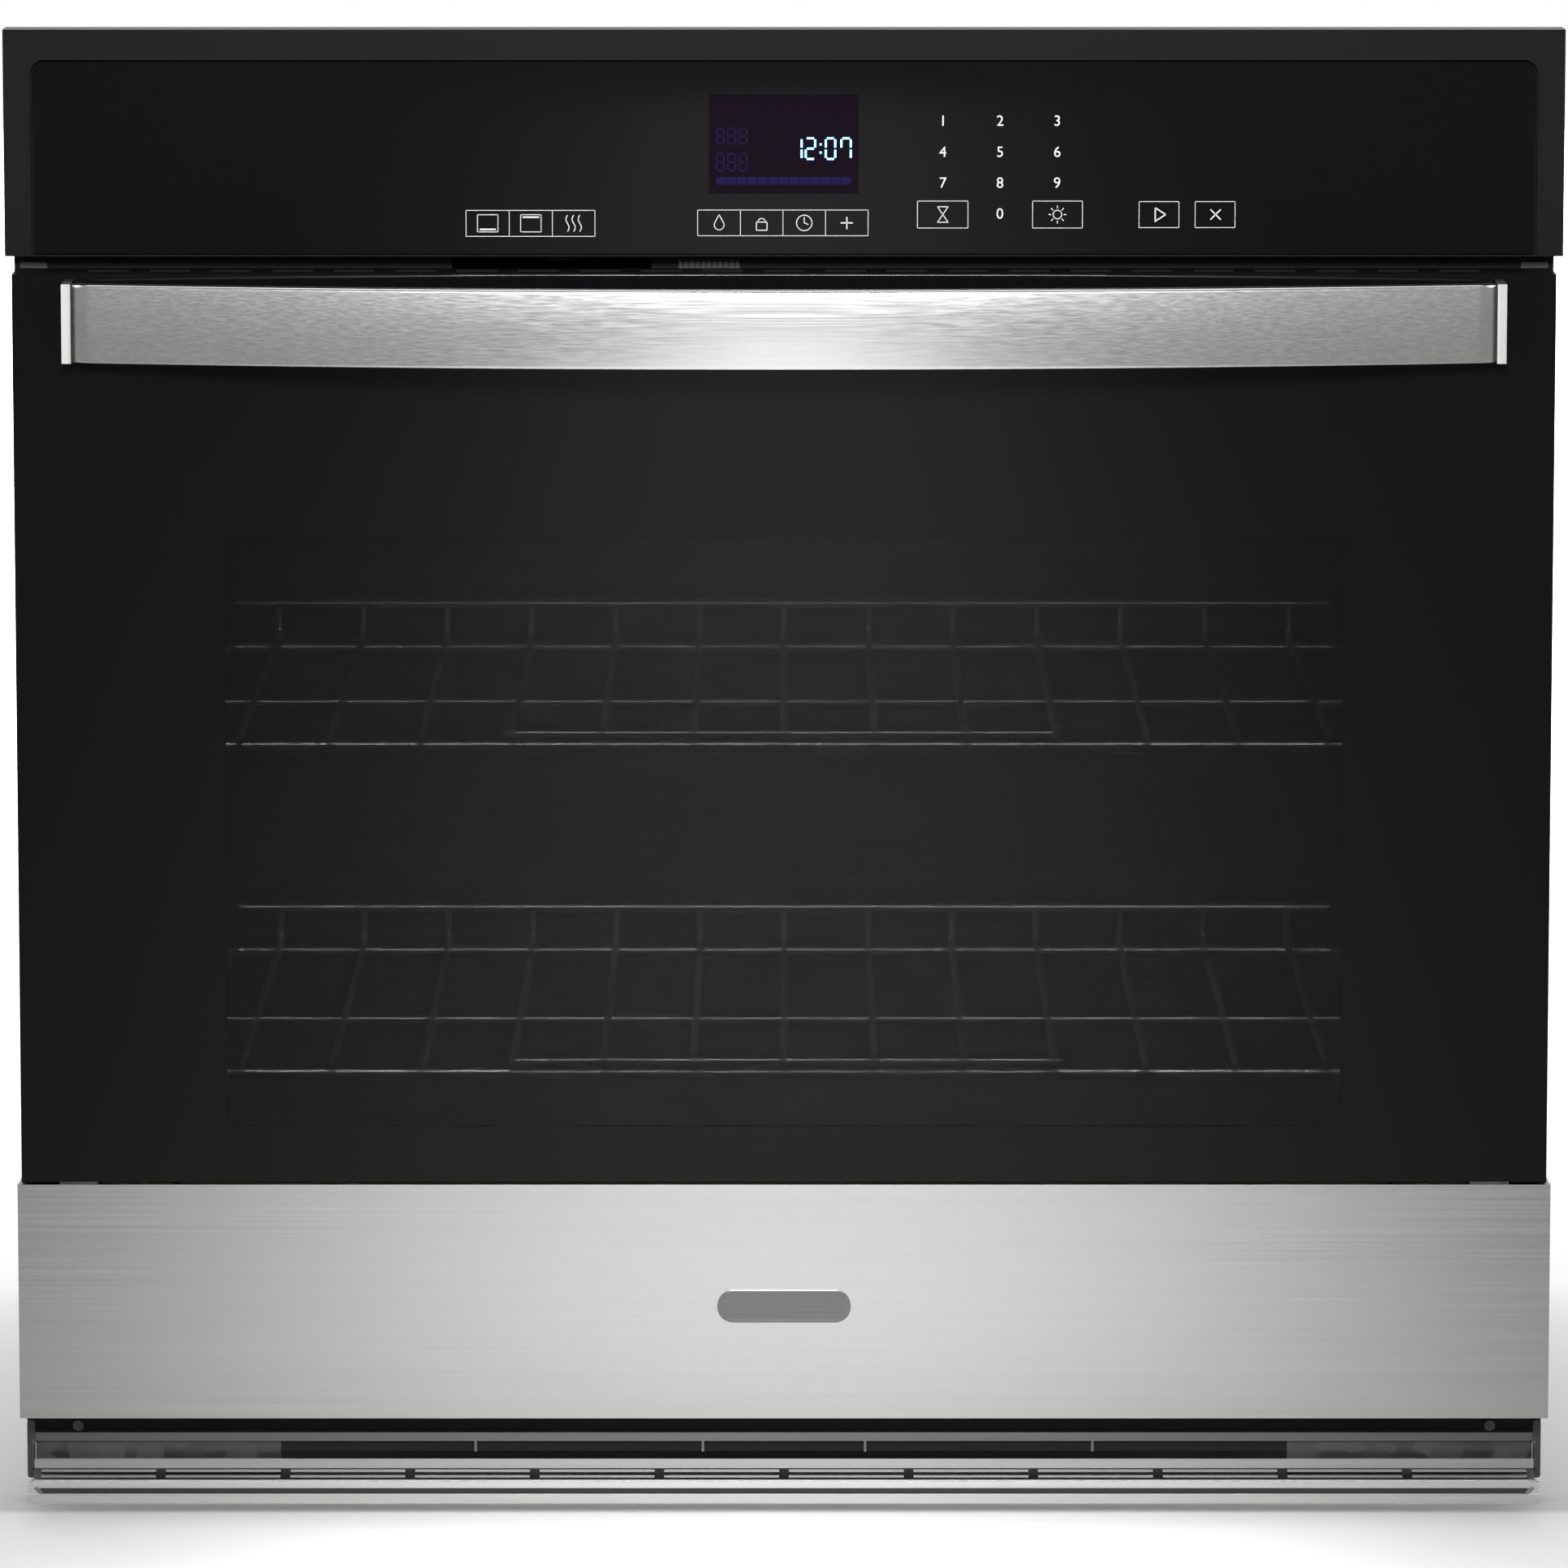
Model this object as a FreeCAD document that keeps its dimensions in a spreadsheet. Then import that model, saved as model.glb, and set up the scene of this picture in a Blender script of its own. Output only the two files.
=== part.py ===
"""A built-in electric wall oven, 30 inches wide, as an assembly of separate pieces.

X points to the right of someone facing the oven, Y into the cabinet and Z up. X = 0 is the middle,
Y = 0 is the cabinet's face and Z = 0 is the floor of the cut-out that the oven rests on. All sizes are
in millimetres.
"""
import FreeCAD, Part
import math
import os
import re
from FreeCAD import Placement, Rotation, Vector
from Sketcher import Constraint

SIZES = {
    # Chassis of folded sheet steel
    "gauge": 1.0,
    "chassis_half": 357.0,
    "chassis_height": 668.0,
    "chassis_depth": 590.0,
    "rail_height": 12.0,
    "rail_inner": 300.0,
    "rail_outer": 340.0,
    "deck_top": 584.0,
    "top_slot_first": -300.0,
    "top_slot_width": 6.0,
    "top_slot_near": 440.0,
    "top_slot_far": 540.0,
    "top_slot_pitch": 18.0,
    "top_slot_count": 12,
    "rear_slot_left": -300.0,
    "rear_slot_right": -200.0,
    "rear_slot_low": 610.0,
    "rear_slot_width": 5.0,
    "rear_slot_pitch": 12.0,
    "rear_slot_count": 5,
    # Front frame, whose edges are the mounting flanges
    "flange_half": 378.0,
    "flange_gauge": 1.5,
    "flange_bottom": 5.0,
    "flange_top": 708.0,
    "mount_half_spacing": 367.5,
    "mount_low": 150.0,
    "mount_high": 500.0,
    "mount_hole_radius": 2.75,
    "screw_across": 352.5,
    "screw_level": 13.5,
    "screw_head_radius": 2.7,
    "screw_head_height": 1.6,
    "screw_shank_radius": 2.0,
    "supply_slot_half": 340.0,
    "supply_slot_low": 612.0,
    "supply_slot_high": 660.0,
    "comb_left": -51.8,
    "comb_right": -21.7,
    "comb_pitch": 2.8,
    "comb_rib": 1.4,
    "comb_ribs": 11,
    # Enamelled oven liner and what surrounds it
    "cavity_half": 311.0,
    "cavity_floor": 75.0,
    "cavity_roof": 539.0,
    "cavity_back": 488.0,
    "liner_gauge": 1.2,
    "liner_face": -3.0,
    "liner_flange_half": 338.0,
    "liner_flange_bottom": 50.0,
    "liner_flange_top": 564.0,
    "ledge_reach": 14.0,
    "ledge_height": 6.0,
    "ledge_first": 104.0,
    "ledge_pitch": 83.0,
    "ledge_drop": 8.0,
    "insulation_top": 566.0,
    "insulation_bottom": 24.0,
    "insulation_back": 515.0,
    "tray_half": 285.0,
    "tray_front": 25.0,
    "tray_back": 465.0,
    "tray_depth": 12.0,
    "tray_gauge": 1.0,
    "gasket_half": 330.0,
    "gasket_low": 58.0,
    "gasket_high": 556.0,
    "gasket_width": 8.6,
    "gasket_front": -11.6,
    # Wire racks
    "rack_upper_level": 353.0,
    "rack_lower_level": 187.0,
    "rack_front": 45.0,
    "rack_back": 440.0,
    "rack_middle": 208.0,
    "rack_edge": 5.0,
    "rack_pitch": 45.4,
    "rack_wires_each_side": 6,
    "rack_wire_radius": 1.85,
    "rack_rail_radius": 2.9,
    "rack_thin_radius": 1.5,
    "rack_back_radius": 2.4,
    "weld_gap": 0.02,
    "rack_rail_half": 301.0,
    "rack_back_half": 295.0,
    "rack_back_rise": 19.0,
    "rack_nose_rise": 6.0,
    "rack_nose_length": 30.0,
    "rack_nose_inset": 4.0,
    "rack_nose_half": 138.0,
    # Heating elements
    "broil_radius": 4.0,
    "broil_level": 515.0,
    "broil_pitch": 90.0,
    "broil_front": 80.0,
    "broil_back": 420.0,
    "bake_radius": 3.5,
    "bake_level": 62.0,
    "bake_pitch": 80.0,
    "bake_front": 80.0,
    "bake_back": 400.0,
    "terminal_end": 535.0,
    # Sensor and lamp on the back wall
    "sensor_across": -60.0,
    "sensor_level": 500.0,
    "lamp_across": 200.0,
    "lamp_level": 480.0,
    "lamp_radius": 27.5,
    # Cooling air
    "duct_middle": -114.0,
    "duct_half": 54.0,
    "duct_height": 18.0,
    "duct_length": 300.0,
    "blower_back": 373.0,
    "blower_radius": 72.0,
    "blower_height": 48.0,
    "wheel_radius": 60.0,
    "shaft_radius": 3.0,
    "blower_inlet_radius": 45.0,
    "motor_leg_ring": 54.0,
    "motor_plate_radius": 58.0,
    "motor_radius": 32.0,
    "motor_height": 24.0,
    "wheel_blades": 24,
    "vent_back": 150.0,
    "vent_radius": 18.6,
    # Supply box at the back
    "junction_across": 300.0,
    "junction_level": 628.0,
    "junction_gauge": 1.6,
    "conduit_radius": 11.1,
    # Door
    "door_half": 376.0,
    "door_bottom": 26.5,
    "door_top": 594.0,
    "door_inside": -12.0,
    "pane_front": -46.0,
    "pane_back": -42.0,
    "pane_bottom": 145.0,
    "panel_half": 378.0,
    "panel_top": 144.0,
    "panel_front": -47.0,
    "window_half": 290.0,
    "window_low": 160.0,
    "window_high": 480.0,
    "plug_half": 305.0,
    "plug_low": 80.0,
    "plug_high": 534.0,
    "plug_face": -4.0,
    "inner_pane_half": 300.0,
    "inner_pane_low": 150.0,
    "inner_pane_high": 490.0,
    "wool_half": 338.0,
    "wool_low": 62.0,
    "wool_high": 566.0,
    "wool_front": -38.0,
    "top_trim_depth": 8.0,
    "top_trim_slot_pitch": 30.0,
    "top_trim_slot_width": 20.0,
    # Handle
    "handle_half": 351.0,
    "handle_low": 551.6,
    "handle_high": 590.3,
    "handle_bow_radius": 1803.0,
    "handle_front": -93.0,
    "handle_thickness": 9.0,
    "handle_cap": 4.5,
    "handle_edge": 2.5,
    "handle_cap_front": -59.5,
    "badge_half": 33.0,
    "badge_low": 75.0,
    "badge_high": 91.0,
    "badge_thickness": 1.2,
    # Hinges
    "pivot_back": -23.0,
    "pivot_level": 40.5,
    "hinge_across": 348.0,
    "pin_radius": 4.0,
    "rod_radius": 3.0,
    "rod_back": -26.0,
    "channel_front": -41.5,
    "channel_back": -15.0,
    "channel_low": 31.0,
    "channel_high": 300.0,
    "channel_half": 9.5,
    "channel_gauge": 1.5,
    "spring_low": 122.0,
    "spring_high": 240.0,
    "spring_radius": 5.4,
    "spring_wire": 1.2,
    "spring_coils": 14.0,
    # Door latch and light switch
    "latch_back": 25.0,
    "latch_level": 572.0,
    "latch_plate": 3.0,
    "plunger_across": 250.0,
    "plunger_level": 574.0,
    "plunger_radius": 3.0,
    # Control panel
    "control_half": 381.0,
    "control_low": 600.6,
    "control_high": 711.4,
    "control_front": -22.0,
    "control_pane_half": 366.8,
    "control_pane_low": 602.0,
    "control_pane_high": 695.6,
    "control_pane_front": -21.7,
    "control_pane_back": -17.7,
    "control_corner": 6.0,
    "board_left": -164.0,
    "board_right": 229.0,
    "board_low": 607.0,
    "board_high": 691.0,
    "board_front": -17.6,
    "board_back": -16.0,
    "display_half": 42.0,
    "display_low": 629.0,
    "display_high": 682.0,
    "display_back": -9.0,
    # Air vent below the door
    "vent_half": 373.8,
    "vent_strip_low": 5.9,
    "vent_strip_high": 10.3,
    "vent_lip_low": -6.2,
    "vent_lip_high": -1.4,
    "vent_lip_front": -12.0,
    "vent_trim_front": -22.0,
    "vent_trim_low": -22.0,
    "vent_trim_high": -11.0,
    "vent_slot_count": 12,
    "vent_slot_width": 57.3,
    "vent_slot_pitch": 62.1,
    "vent_plate_inner": 251.3,
    "vent_plate_low": -20.0,
    "vent_tab_near": 40.5,
    "vent_tab_far": 154.0,
    "vent_tab_half": 0.6,
    "vent_foot_front": -20.4,
    "vent_foot_high": -10.2,
    "vent_foot_low": -11.55,
    "bracket_low": -13.0,
    "bracket_high": 16.3,
    "trim_groove_high": -14.1,
    "trim_groove_low": -17.4,
    "trim_groove_depth": 0.7,
}

doc = FreeCAD.newDocument("WallOven")
sheet = doc.addObject("Spreadsheet::Sheet", "Sizes")
for row, (alias, value) in enumerate(SIZES.items(), start=1):
    sheet.set(f"A{row}", alias)
    sheet.set(f"B{row}", str(value))
    sheet.setAlias(f"B{row}", alias)
doc.recompute()

NODES = []


def size(alias):
    """The number that the sheet holds under an alias."""
    return float(sheet.get(alias))


def bound(text):
    """An expression with each of its names looked up in the sheet."""
    return re.sub(r"[a-z][a-z_0-9]*", lambda name: "Sizes." + name.group(0), str(text))


def place(thing, x, y, z):
    """Bind where an object stands."""
    for axis, where in (("x", x), ("y", y), ("z", z)):
        thing.setExpression(f"Placement.Base.{axis}", bound(where))
    return thing


def block(name, x, y, z):
    """A box between two limits on each axis."""
    box = doc.addObject("Part::Box", name)
    for side, limits in (("Length", x), ("Width", y), ("Height", z)):
        box.setExpression(side, bound(f"({limits[1]}) - ({limits[0]})"))
    return place(box, x[0], y[0], z[0])


TURNS = {
    "x": Rotation(Vector(0, 1, 0), 90),
    "y": Rotation(Vector(1, 0, 0), -90),
    "z": Rotation(),
}


def rod(name, along, radius, length, x, y, z):
    """A cylinder that starts at a point and runs along an axis."""
    cylinder = doc.addObject("Part::Cylinder", name)
    cylinder.Placement = Placement(Vector(), TURNS[along])
    cylinder.setExpression("Radius", bound(radius))
    cylinder.setExpression("Height", bound(length))
    return place(cylinder, x, y, z)


def ball(name, radius, x, y, z):
    """A sphere about a point."""
    sphere = doc.addObject("Part::Sphere", name)
    sphere.setExpression("Radius", bound(radius))
    return place(sphere, x, y, z)


def fuse(name, *parts):
    """One solid from several that meet."""
    joined = doc.addObject("Part::MultiFuse", name)
    joined.Shapes = list(parts)
    joined.Refine = True
    return joined


def cut(name, base, *tools):
    """A solid less one or more others."""
    left = doc.addObject("Part::Cut", name)
    left.Base = base
    left.Tool = tools[0] if len(tools) == 1 else fuse(name + "_cutters", *tools)
    left.Refine = True
    return left


def group(name, *parts):
    """Separate solids in one node."""
    together = doc.addObject("Part::Compound", name)
    together.Links = list(parts)
    return together


def node(thing, label):
    """Name a finished sub-part, which also names its file."""
    thing.Label = label
    NODES.append(thing)
    return thing


def both_sides(name, make):
    """The same piece on the left (side -1) and on the right (side 1)."""
    return [make(f"{name}_{word}", side) for word, side in (("left", -1), ("right", 1))]


def span(side, near, far):
    """Limits on X of something between two distances from the middle, on one side."""
    return (f"{near}", f"{far}") if side > 0 else (f"-({far})", f"-({near})")


# Sketched bodies

PLANES = {"z": "XY_Plane", "y": "XZ_Plane", "x": "YZ_Plane"}


def new_body(name):
    return doc.addObject("PartDesign::Body", name)


def sketch_on(body, facing, height):
    """A sketch square to an axis. On the plane that faces Y its height runs towards -Y."""
    sketch = body.newObject("Sketcher::SketchObject", body.Name + "_sketch")
    origin = body.Origin.OriginFeatures
    sketch.AttachmentSupport = [(next(part for part in origin if part.Role == PLANES[facing]), "")]
    sketch.MapMode = "FlatFace"
    sketch.setExpression("AttachmentOffset.Base.z", bound(height))
    return sketch


def fix_point(sketch, geometry, corner, across, up):
    """Tie one corner of the sketch to its place from the origin."""
    for kind, where in (("DistanceX", across), ("DistanceY", up)):
        index = sketch.addConstraint(Constraint(kind, -1, 1, geometry, corner, 1.0))
        sketch.setExpression(f"Constraints[{index}]", bound(where))


def polygon(sketch, points):
    """A closed outline through points, each tied to its place."""
    first = sketch.GeometryCount
    rough = [(math.cos(k), math.sin(k)) for k in (2 * math.pi * n / len(points) for n in range(len(points)))]
    for k, (across, up) in enumerate(rough):
        ahead = rough[(k + 1) % len(rough)]
        line = Part.LineSegment(Vector(across, up, 0), Vector(ahead[0], ahead[1], 0))
        sketch.addGeometry(line, False)
    for k in range(len(points)):
        after = first + (k + 1) % len(points)
        sketch.addConstraint(Constraint("Coincident", first + k, 2, after, 1))
    for k, (across, up) in enumerate(points):
        fix_point(sketch, first + k, 1, across, up)


def rectangle(sketch, across, up):
    polygon(sketch, [(across[0], up[0]), (across[1], up[0]), (across[1], up[1]), (across[0], up[1])])


def circle(sketch, across, up, radius):
    """A circle tied to its place and size."""
    index = sketch.addGeometry(Part.Circle(Vector(0.5, 0.5, 0), Vector(0, 0, 1), 1.0), False)
    fix_point(sketch, index, 3, across, up)
    ring = sketch.addConstraint(Constraint("Radius", index, 1.0))
    sketch.setExpression(f"Constraints[{ring}]", bound(radius))


def limits_along(facing, limits):
    """Where a sketch starts and how far it is padded to fill the limits on an axis."""
    start = f"-({limits[1]})" if facing == "y" else limits[0]
    return start, f"({limits[1]}) - ({limits[0]})"


def pad(body, facing, draw, limits):
    """Pad an outline between two limits on the axis that it faces."""
    start, length = limits_along(facing, limits)
    sketch = sketch_on(body, facing, start)
    draw(sketch)
    feature = body.newObject("PartDesign::Pad", body.Name + "_pad")
    feature.Profile = sketch
    feature.setExpression("Length", bound(length))
    return feature


def pocket(body, facing, draw, limits):
    """Cut an outline between two limits on the axis that it faces."""
    start, length = limits_along(facing, limits)
    sketch = sketch_on(body, facing, start)
    draw(sketch)
    feature = body.newObject("PartDesign::Pocket", body.Name + "_pocket")
    feature.Profile = sketch
    feature.Reversed = True
    feature.setExpression("Length", bound(length))
    return feature


def boxed(across, up):
    return lambda sketch: rectangle(sketch, across, up)


def round_edges(body, radius, chosen):
    """Fillet the edges of the body's last shape that a test picks out."""
    doc.recompute()
    base = body.Tip
    names = [f"Edge{k}" for k, edge in enumerate(base.Shape.Edges, start=1) if chosen(edge)]
    fillet = body.newObject("PartDesign::Fillet", body.Name + "_fillet")
    fillet.Base = (base, names)
    fillet.setExpression("Radius", bound(radius))
    return fillet


def runs_along(edge, axis):
    """Whether an edge is straight and lies along an axis."""
    if edge.Curve.TypeId != "Part::GeomLine":
        return False
    return abs(edge.tangentAt(edge.FirstParameter).dot(axis)) > 0.999


def repeat(body, feature, axis_role, pitch, count):
    """Repeat a feature in a row."""
    doc.recompute()
    row = body.newObject("PartDesign::LinearPattern", body.Name + "_row")
    row.Originals = [feature]
    axis = next(part for part in body.Origin.OriginFeatures if part.Role == axis_role)
    row.Direction = (axis, [""])
    row.Mode = "Spacing"
    row.setExpression("Offset", bound(pitch))
    row.setExpression("Occurrences", bound(count))
    body.Tip = row
    return row


# Chassis

def make_chassis():
    inner = "chassis_half - gauge"

    def side_panel(name, side):
        body = new_body(name)
        pad(body, "x", boxed(("0", "chassis_depth"), ("2", "chassis_height")),
            span(side, inner, "chassis_half"))
        return body

    node(group("side_panels", *both_sides("side_panel", side_panel)), "side_panels")

    top = new_body("top_panel")
    pad(top, "z", boxed((f"-({inner})", inner), ("0", "chassis_depth")),
        ("chassis_height - gauge", "chassis_height"))
    slot = pocket(top, "z", boxed(("top_slot_first", "top_slot_first + top_slot_width"),
                                  ("top_slot_near", "top_slot_far")),
                  ("chassis_height - gauge", "chassis_height"))
    repeat(top, slot, "X_Axis", "top_slot_pitch", "top_slot_count")
    node(top, "top_panel")

    base = new_body("base_panel")
    pad(base, "z", boxed((f"-({inner})", inner), ("0", "chassis_depth")),
        ("rail_height", "rail_height + gauge"))
    node(base, "base_panel")

    rear = new_body("rear_panel")
    sheet_span = ("chassis_depth - gauge", "chassis_depth")
    upright = ("rail_height + gauge", "chassis_height - gauge")
    pad(rear, "y", boxed((f"-({inner})", inner), upright), sheet_span)
    pocket(rear, "y", boxed(("junction_across - 35", "junction_across + 35"),
                            ("junction_level - 26", "junction_level + 26")), sheet_span)
    louvre = pocket(rear, "y", boxed(("rear_slot_left", "rear_slot_right"),
                                     ("rear_slot_low", "rear_slot_low + rear_slot_width")), sheet_span)
    repeat(rear, louvre, "Z_Axis", "rear_slot_pitch", "rear_slot_count")
    node(rear, "rear_panel")

    up = ("0", "rail_height")
    rails = both_sides("base_rail", lambda name, side: block(
        name, span(side, "rail_inner", "rail_outer"), ("0", "chassis_depth - 10"), up))
    crossing = block("base_cross_rail", ("-rail_inner", "rail_inner"), ("0", "30"), up)
    node(fuse("base_rails", crossing, *rails), "base_rails")

    deck = new_body("upper_deck")
    deck_span = ("deck_top - gauge", "deck_top")
    pad(deck, "z", boxed((f"-({inner})", inner), ("0", "chassis_depth - gauge")), deck_span)
    pocket(deck, "z", lambda sketch: circle(sketch, "duct_middle", "vent_back", "vent_radius + 0.4"),
           deck_span)
    pocket(deck, "z", lambda sketch: circle(sketch, "0", "latch_back", "shaft_radius + 0.5"), deck_span)
    node(deck, "upper_deck")


def make_front_frame():
    """The mounting frame: its edges lie on the cabinet's face and carry four screw holes."""
    frame = new_body("front_frame")
    sheet_span = ("-flange_gauge", "0")
    pad(frame, "y", boxed(("-flange_half", "flange_half"), ("flange_bottom", "flange_top")), sheet_span)
    margin = "liner_gauge + 0.8"
    across = f"cavity_half + {margin}"
    openings = [
        ((f"-({across})", across), (f"cavity_floor - ({margin})", f"cavity_roof + {margin}")),
        (("-supply_slot_half", "supply_slot_half"), ("supply_slot_low", "supply_slot_high")),
        (("duct_middle - 49", "duct_middle + 49"), ("deck_top + 4", "deck_top + 14")),
        (("-8", "28"), ("latch_level - 3", "latch_level + 6")),
        (span(-1, "hinge_across - 3.5", "hinge_across + 3.5"), ("28", "58")),
        (span(1, "hinge_across - 3.5", "hinge_across + 3.5"), ("28", "58")),
    ]
    for across_limits, up_limits in openings:
        pocket(frame, "y", boxed(across_limits, up_limits), sheet_span)

    def holes(sketch):
        for sign in ("-", ""):
            for level in ("mount_low", "mount_high"):
                circle(sketch, f"{sign}mount_half_spacing", level, "mount_hole_radius")
            circle(sketch, f"{sign}screw_across", "screw_level", "screw_shank_radius + 0.05")
        circle(sketch, "plunger_across", "plunger_level", "plunger_radius + 0.6")

    pocket(frame, "y", holes, sheet_span)
    node(frame, "front_frame")

    def screw(name, side):
        across = f"{side} * screw_across"
        head = rod(name + "_head", "y", "screw_head_radius", "screw_head_height", across,
                   "-flange_gauge - screw_head_height", "screw_level")
        shank = rod(name + "_shank", "y", "screw_shank_radius", "flange_gauge", across, "-flange_gauge",
                    "screw_level")
        return fuse(name, head, shank)

    node(group("frame_screws", *both_sides("frame_screw", screw)), "frame_screws")

    comb = new_body("outlet_comb")
    low, high = "deck_top + 5", "deck_top + 14"
    pad(comb, "y", boxed(("comb_left", "comb_right"), (low, high)), ("-flange_gauge - 1.5", "-flange_gauge"))
    rib = pad(comb, "y", boxed(("comb_left + 0.3", "comb_left + 0.3 + comb_rib"), (low, high)),
              ("-flange_gauge - 4.5", "-flange_gauge - 1.5"))
    repeat(comb, rib, "X_Axis", "comb_pitch", "comb_ribs")
    node(comb, "outlet_comb")


# Oven cavity

def make_liner():
    wall = "liner_gauge"
    outside = f"cavity_half + {wall}"
    shell = block("liner_outside", (f"-({outside})", outside), ("liner_face", f"cavity_back + {wall}"),
                  (f"cavity_floor - {wall}", f"cavity_roof + {wall}"))
    flange = block("liner_flange", ("-liner_flange_half", "liner_flange_half"),
                   ("liner_face", "-flange_gauge"), ("liner_flange_bottom", "liner_flange_top"))
    space = block("liner_space", ("-cavity_half", "cavity_half"), ("liner_face - 1", "cavity_back"),
                  ("cavity_floor", "cavity_roof"))
    back = "cavity_back - 1"
    deep = "liner_gauge + 2"
    holes = [
        rod("liner_vent_hole", "z", "vent_radius + 0.1", deep, "duct_middle", "vent_back",
            "cavity_roof - 1"),
        rod("liner_lamp_hole", "y", "26", deep, "lamp_across", back, "lamp_level"),
        rod("liner_sensor_hole", "y", "3.3", deep, "sensor_across", back, "sensor_level"),
    ]
    for side in (-2.5, 2.5):
        holes.append(rod("liner_broil_hole", "y", "broil_radius + 0.5", deep,
                         f"{side} * broil_pitch", back, "broil_level"))
    node(cut("oven_liner", fuse("liner_blank", shell, flange), space, *holes), "oven_liner")

    ledges = []
    for level in range(5):
        top = f"ledge_first + {level} * ledge_pitch - ledge_drop"
        for side in (-1, 1):
            ledges.append(block("ledge", span(side, "cavity_half - ledge_reach", "cavity_half"),
                                ("12", "cavity_back - 10"), (f"{top} - ledge_height", top)))
    node(group("rack_ledges", *ledges), "rack_ledges")


def make_insulation():
    blanket = block("insulation_outside", ("-liner_flange_half", "liner_flange_half"),
                    ("3", "insulation_back"),
                    ("insulation_bottom", "insulation_top"))
    inside = "cavity_half + liner_gauge + 0.2"
    space = block("insulation_space", (f"-({inside})", inside), ("2", "cavity_back + liner_gauge + 0.2"),
                  ("bake_level - 12.4", "cavity_roof + liner_gauge + 0.2"))
    back = "cavity_back"
    deep = "40"
    holes = [
        rod("insulation_vent_hole", "z", "vent_radius + 1.4", deep, "duct_middle", "vent_back",
            "cavity_roof"),
        rod("insulation_lamp_hole", "y", "lamp_radius + 1", deep, "lamp_across", back, "lamp_level"),
        rod("insulation_sensor_hole", "y", "4", deep, "sensor_across", back, "sensor_level"),
    ]
    for side in (-1, 1):
        holes.append(rod("insulation_broil_hole", "y", "broil_radius + 1", deep,
                         f"{2.5 * side} * broil_pitch", back, "broil_level"))
        holes.append(rod("insulation_bake_hole", "y", "bake_radius + 1", deep,
                         f"{1.5 * side} * bake_pitch", back, "bake_level"))
    node(cut("oven_insulation", blanket, space, *holes), "oven_insulation")


def make_gasket():
    gasket = new_body("door_gasket")
    depth = ("gasket_front", "liner_face")
    half = "gasket_width / 2"

    def ring_edge(sign):
        across = f"gasket_half {sign} {half}"
        low = f"gasket_low {'-' if sign == '+' else '+'} {half}"
        return boxed((f"-({across})", across), (low, f"gasket_high {sign} {half}"))

    pad(gasket, "y", ring_edge("+"), depth)
    round_edges(gasket, "25", lambda edge: runs_along(edge, Vector(0, 1, 0)))
    pocket(gasket, "y", ring_edge("-"), depth)
    face = size("gasket_front")
    inner_corner = size("gasket_half") - size("gasket_width") / 2
    round_edges(gasket, "16.4", lambda edge: runs_along(edge, Vector(0, 1, 0))
                and abs(abs(edge.CenterOfMass.x) - inner_corner) < 0.1)
    round_edges(gasket, "3", lambda edge: abs(edge.BoundBox.YMax - face) < 0.01)
    node(gasket, "door_gasket")


def serpentine(name, runs, pitch, radius, front, back, level, end):
    """A sheathed element: parallel runs joined by half turns, whose two ends leave through the back wall."""
    pieces = []
    for k in range(runs):
        across = f"({k} - {(runs - 1) / 2}) * {pitch}"
        last = end if k in (0, runs - 1) else back
        pieces.append(rod(name + "_run", "y", radius, f"{last} - {front}", across, front, level))
    for k in range(runs - 1):
        bend = doc.addObject("Part::Torus", name + "_bend")
        at_front = k % 2 == 0
        bend.Placement = Placement(Vector(), Rotation(Vector(0, 0, 1), 180 if at_front else 0))
        bend.setExpression("Radius1", bound(f"{pitch} / 2"))
        bend.setExpression("Radius2", bound(radius))
        bend.Angle3 = 180
        pieces.append(place(bend, f"({k} - {runs / 2 - 1}) * {pitch}", front if at_front else back, level))
    return fuse(name, *pieces)


def make_elements():
    node(serpentine("broil_element", 6, "broil_pitch", "broil_radius", "broil_front", "broil_back",
                    "broil_level", "terminal_end"), "broil_element")
    node(serpentine("bake_element", 4, "bake_pitch", "bake_radius", "bake_front", "bake_back",
                    "bake_level", "terminal_end"), "bake_element")

    top = "cavity_floor - liner_gauge - 0.2"
    pan = block("tray_outside", ("-tray_half", "tray_half"), ("tray_front", "tray_back"),
                ("bake_level - tray_depth", top))
    space = block("tray_space", ("-tray_half + tray_gauge", "tray_half - tray_gauge"),
                  ("tray_front + tray_gauge", "tray_back - tray_gauge"),
                  ("bake_level - tray_depth + tray_gauge", f"{top} + 1"))
    holes = [rod("tray_hole", "y", "bake_radius + 0.3", "4", f"{1.5 * side} * bake_pitch",
                 "tray_back - 2", "bake_level")
             for side in (-1, 1)]
    node(cut("bake_element_tray", pan, space, *holes), "bake_element_tray")


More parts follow.
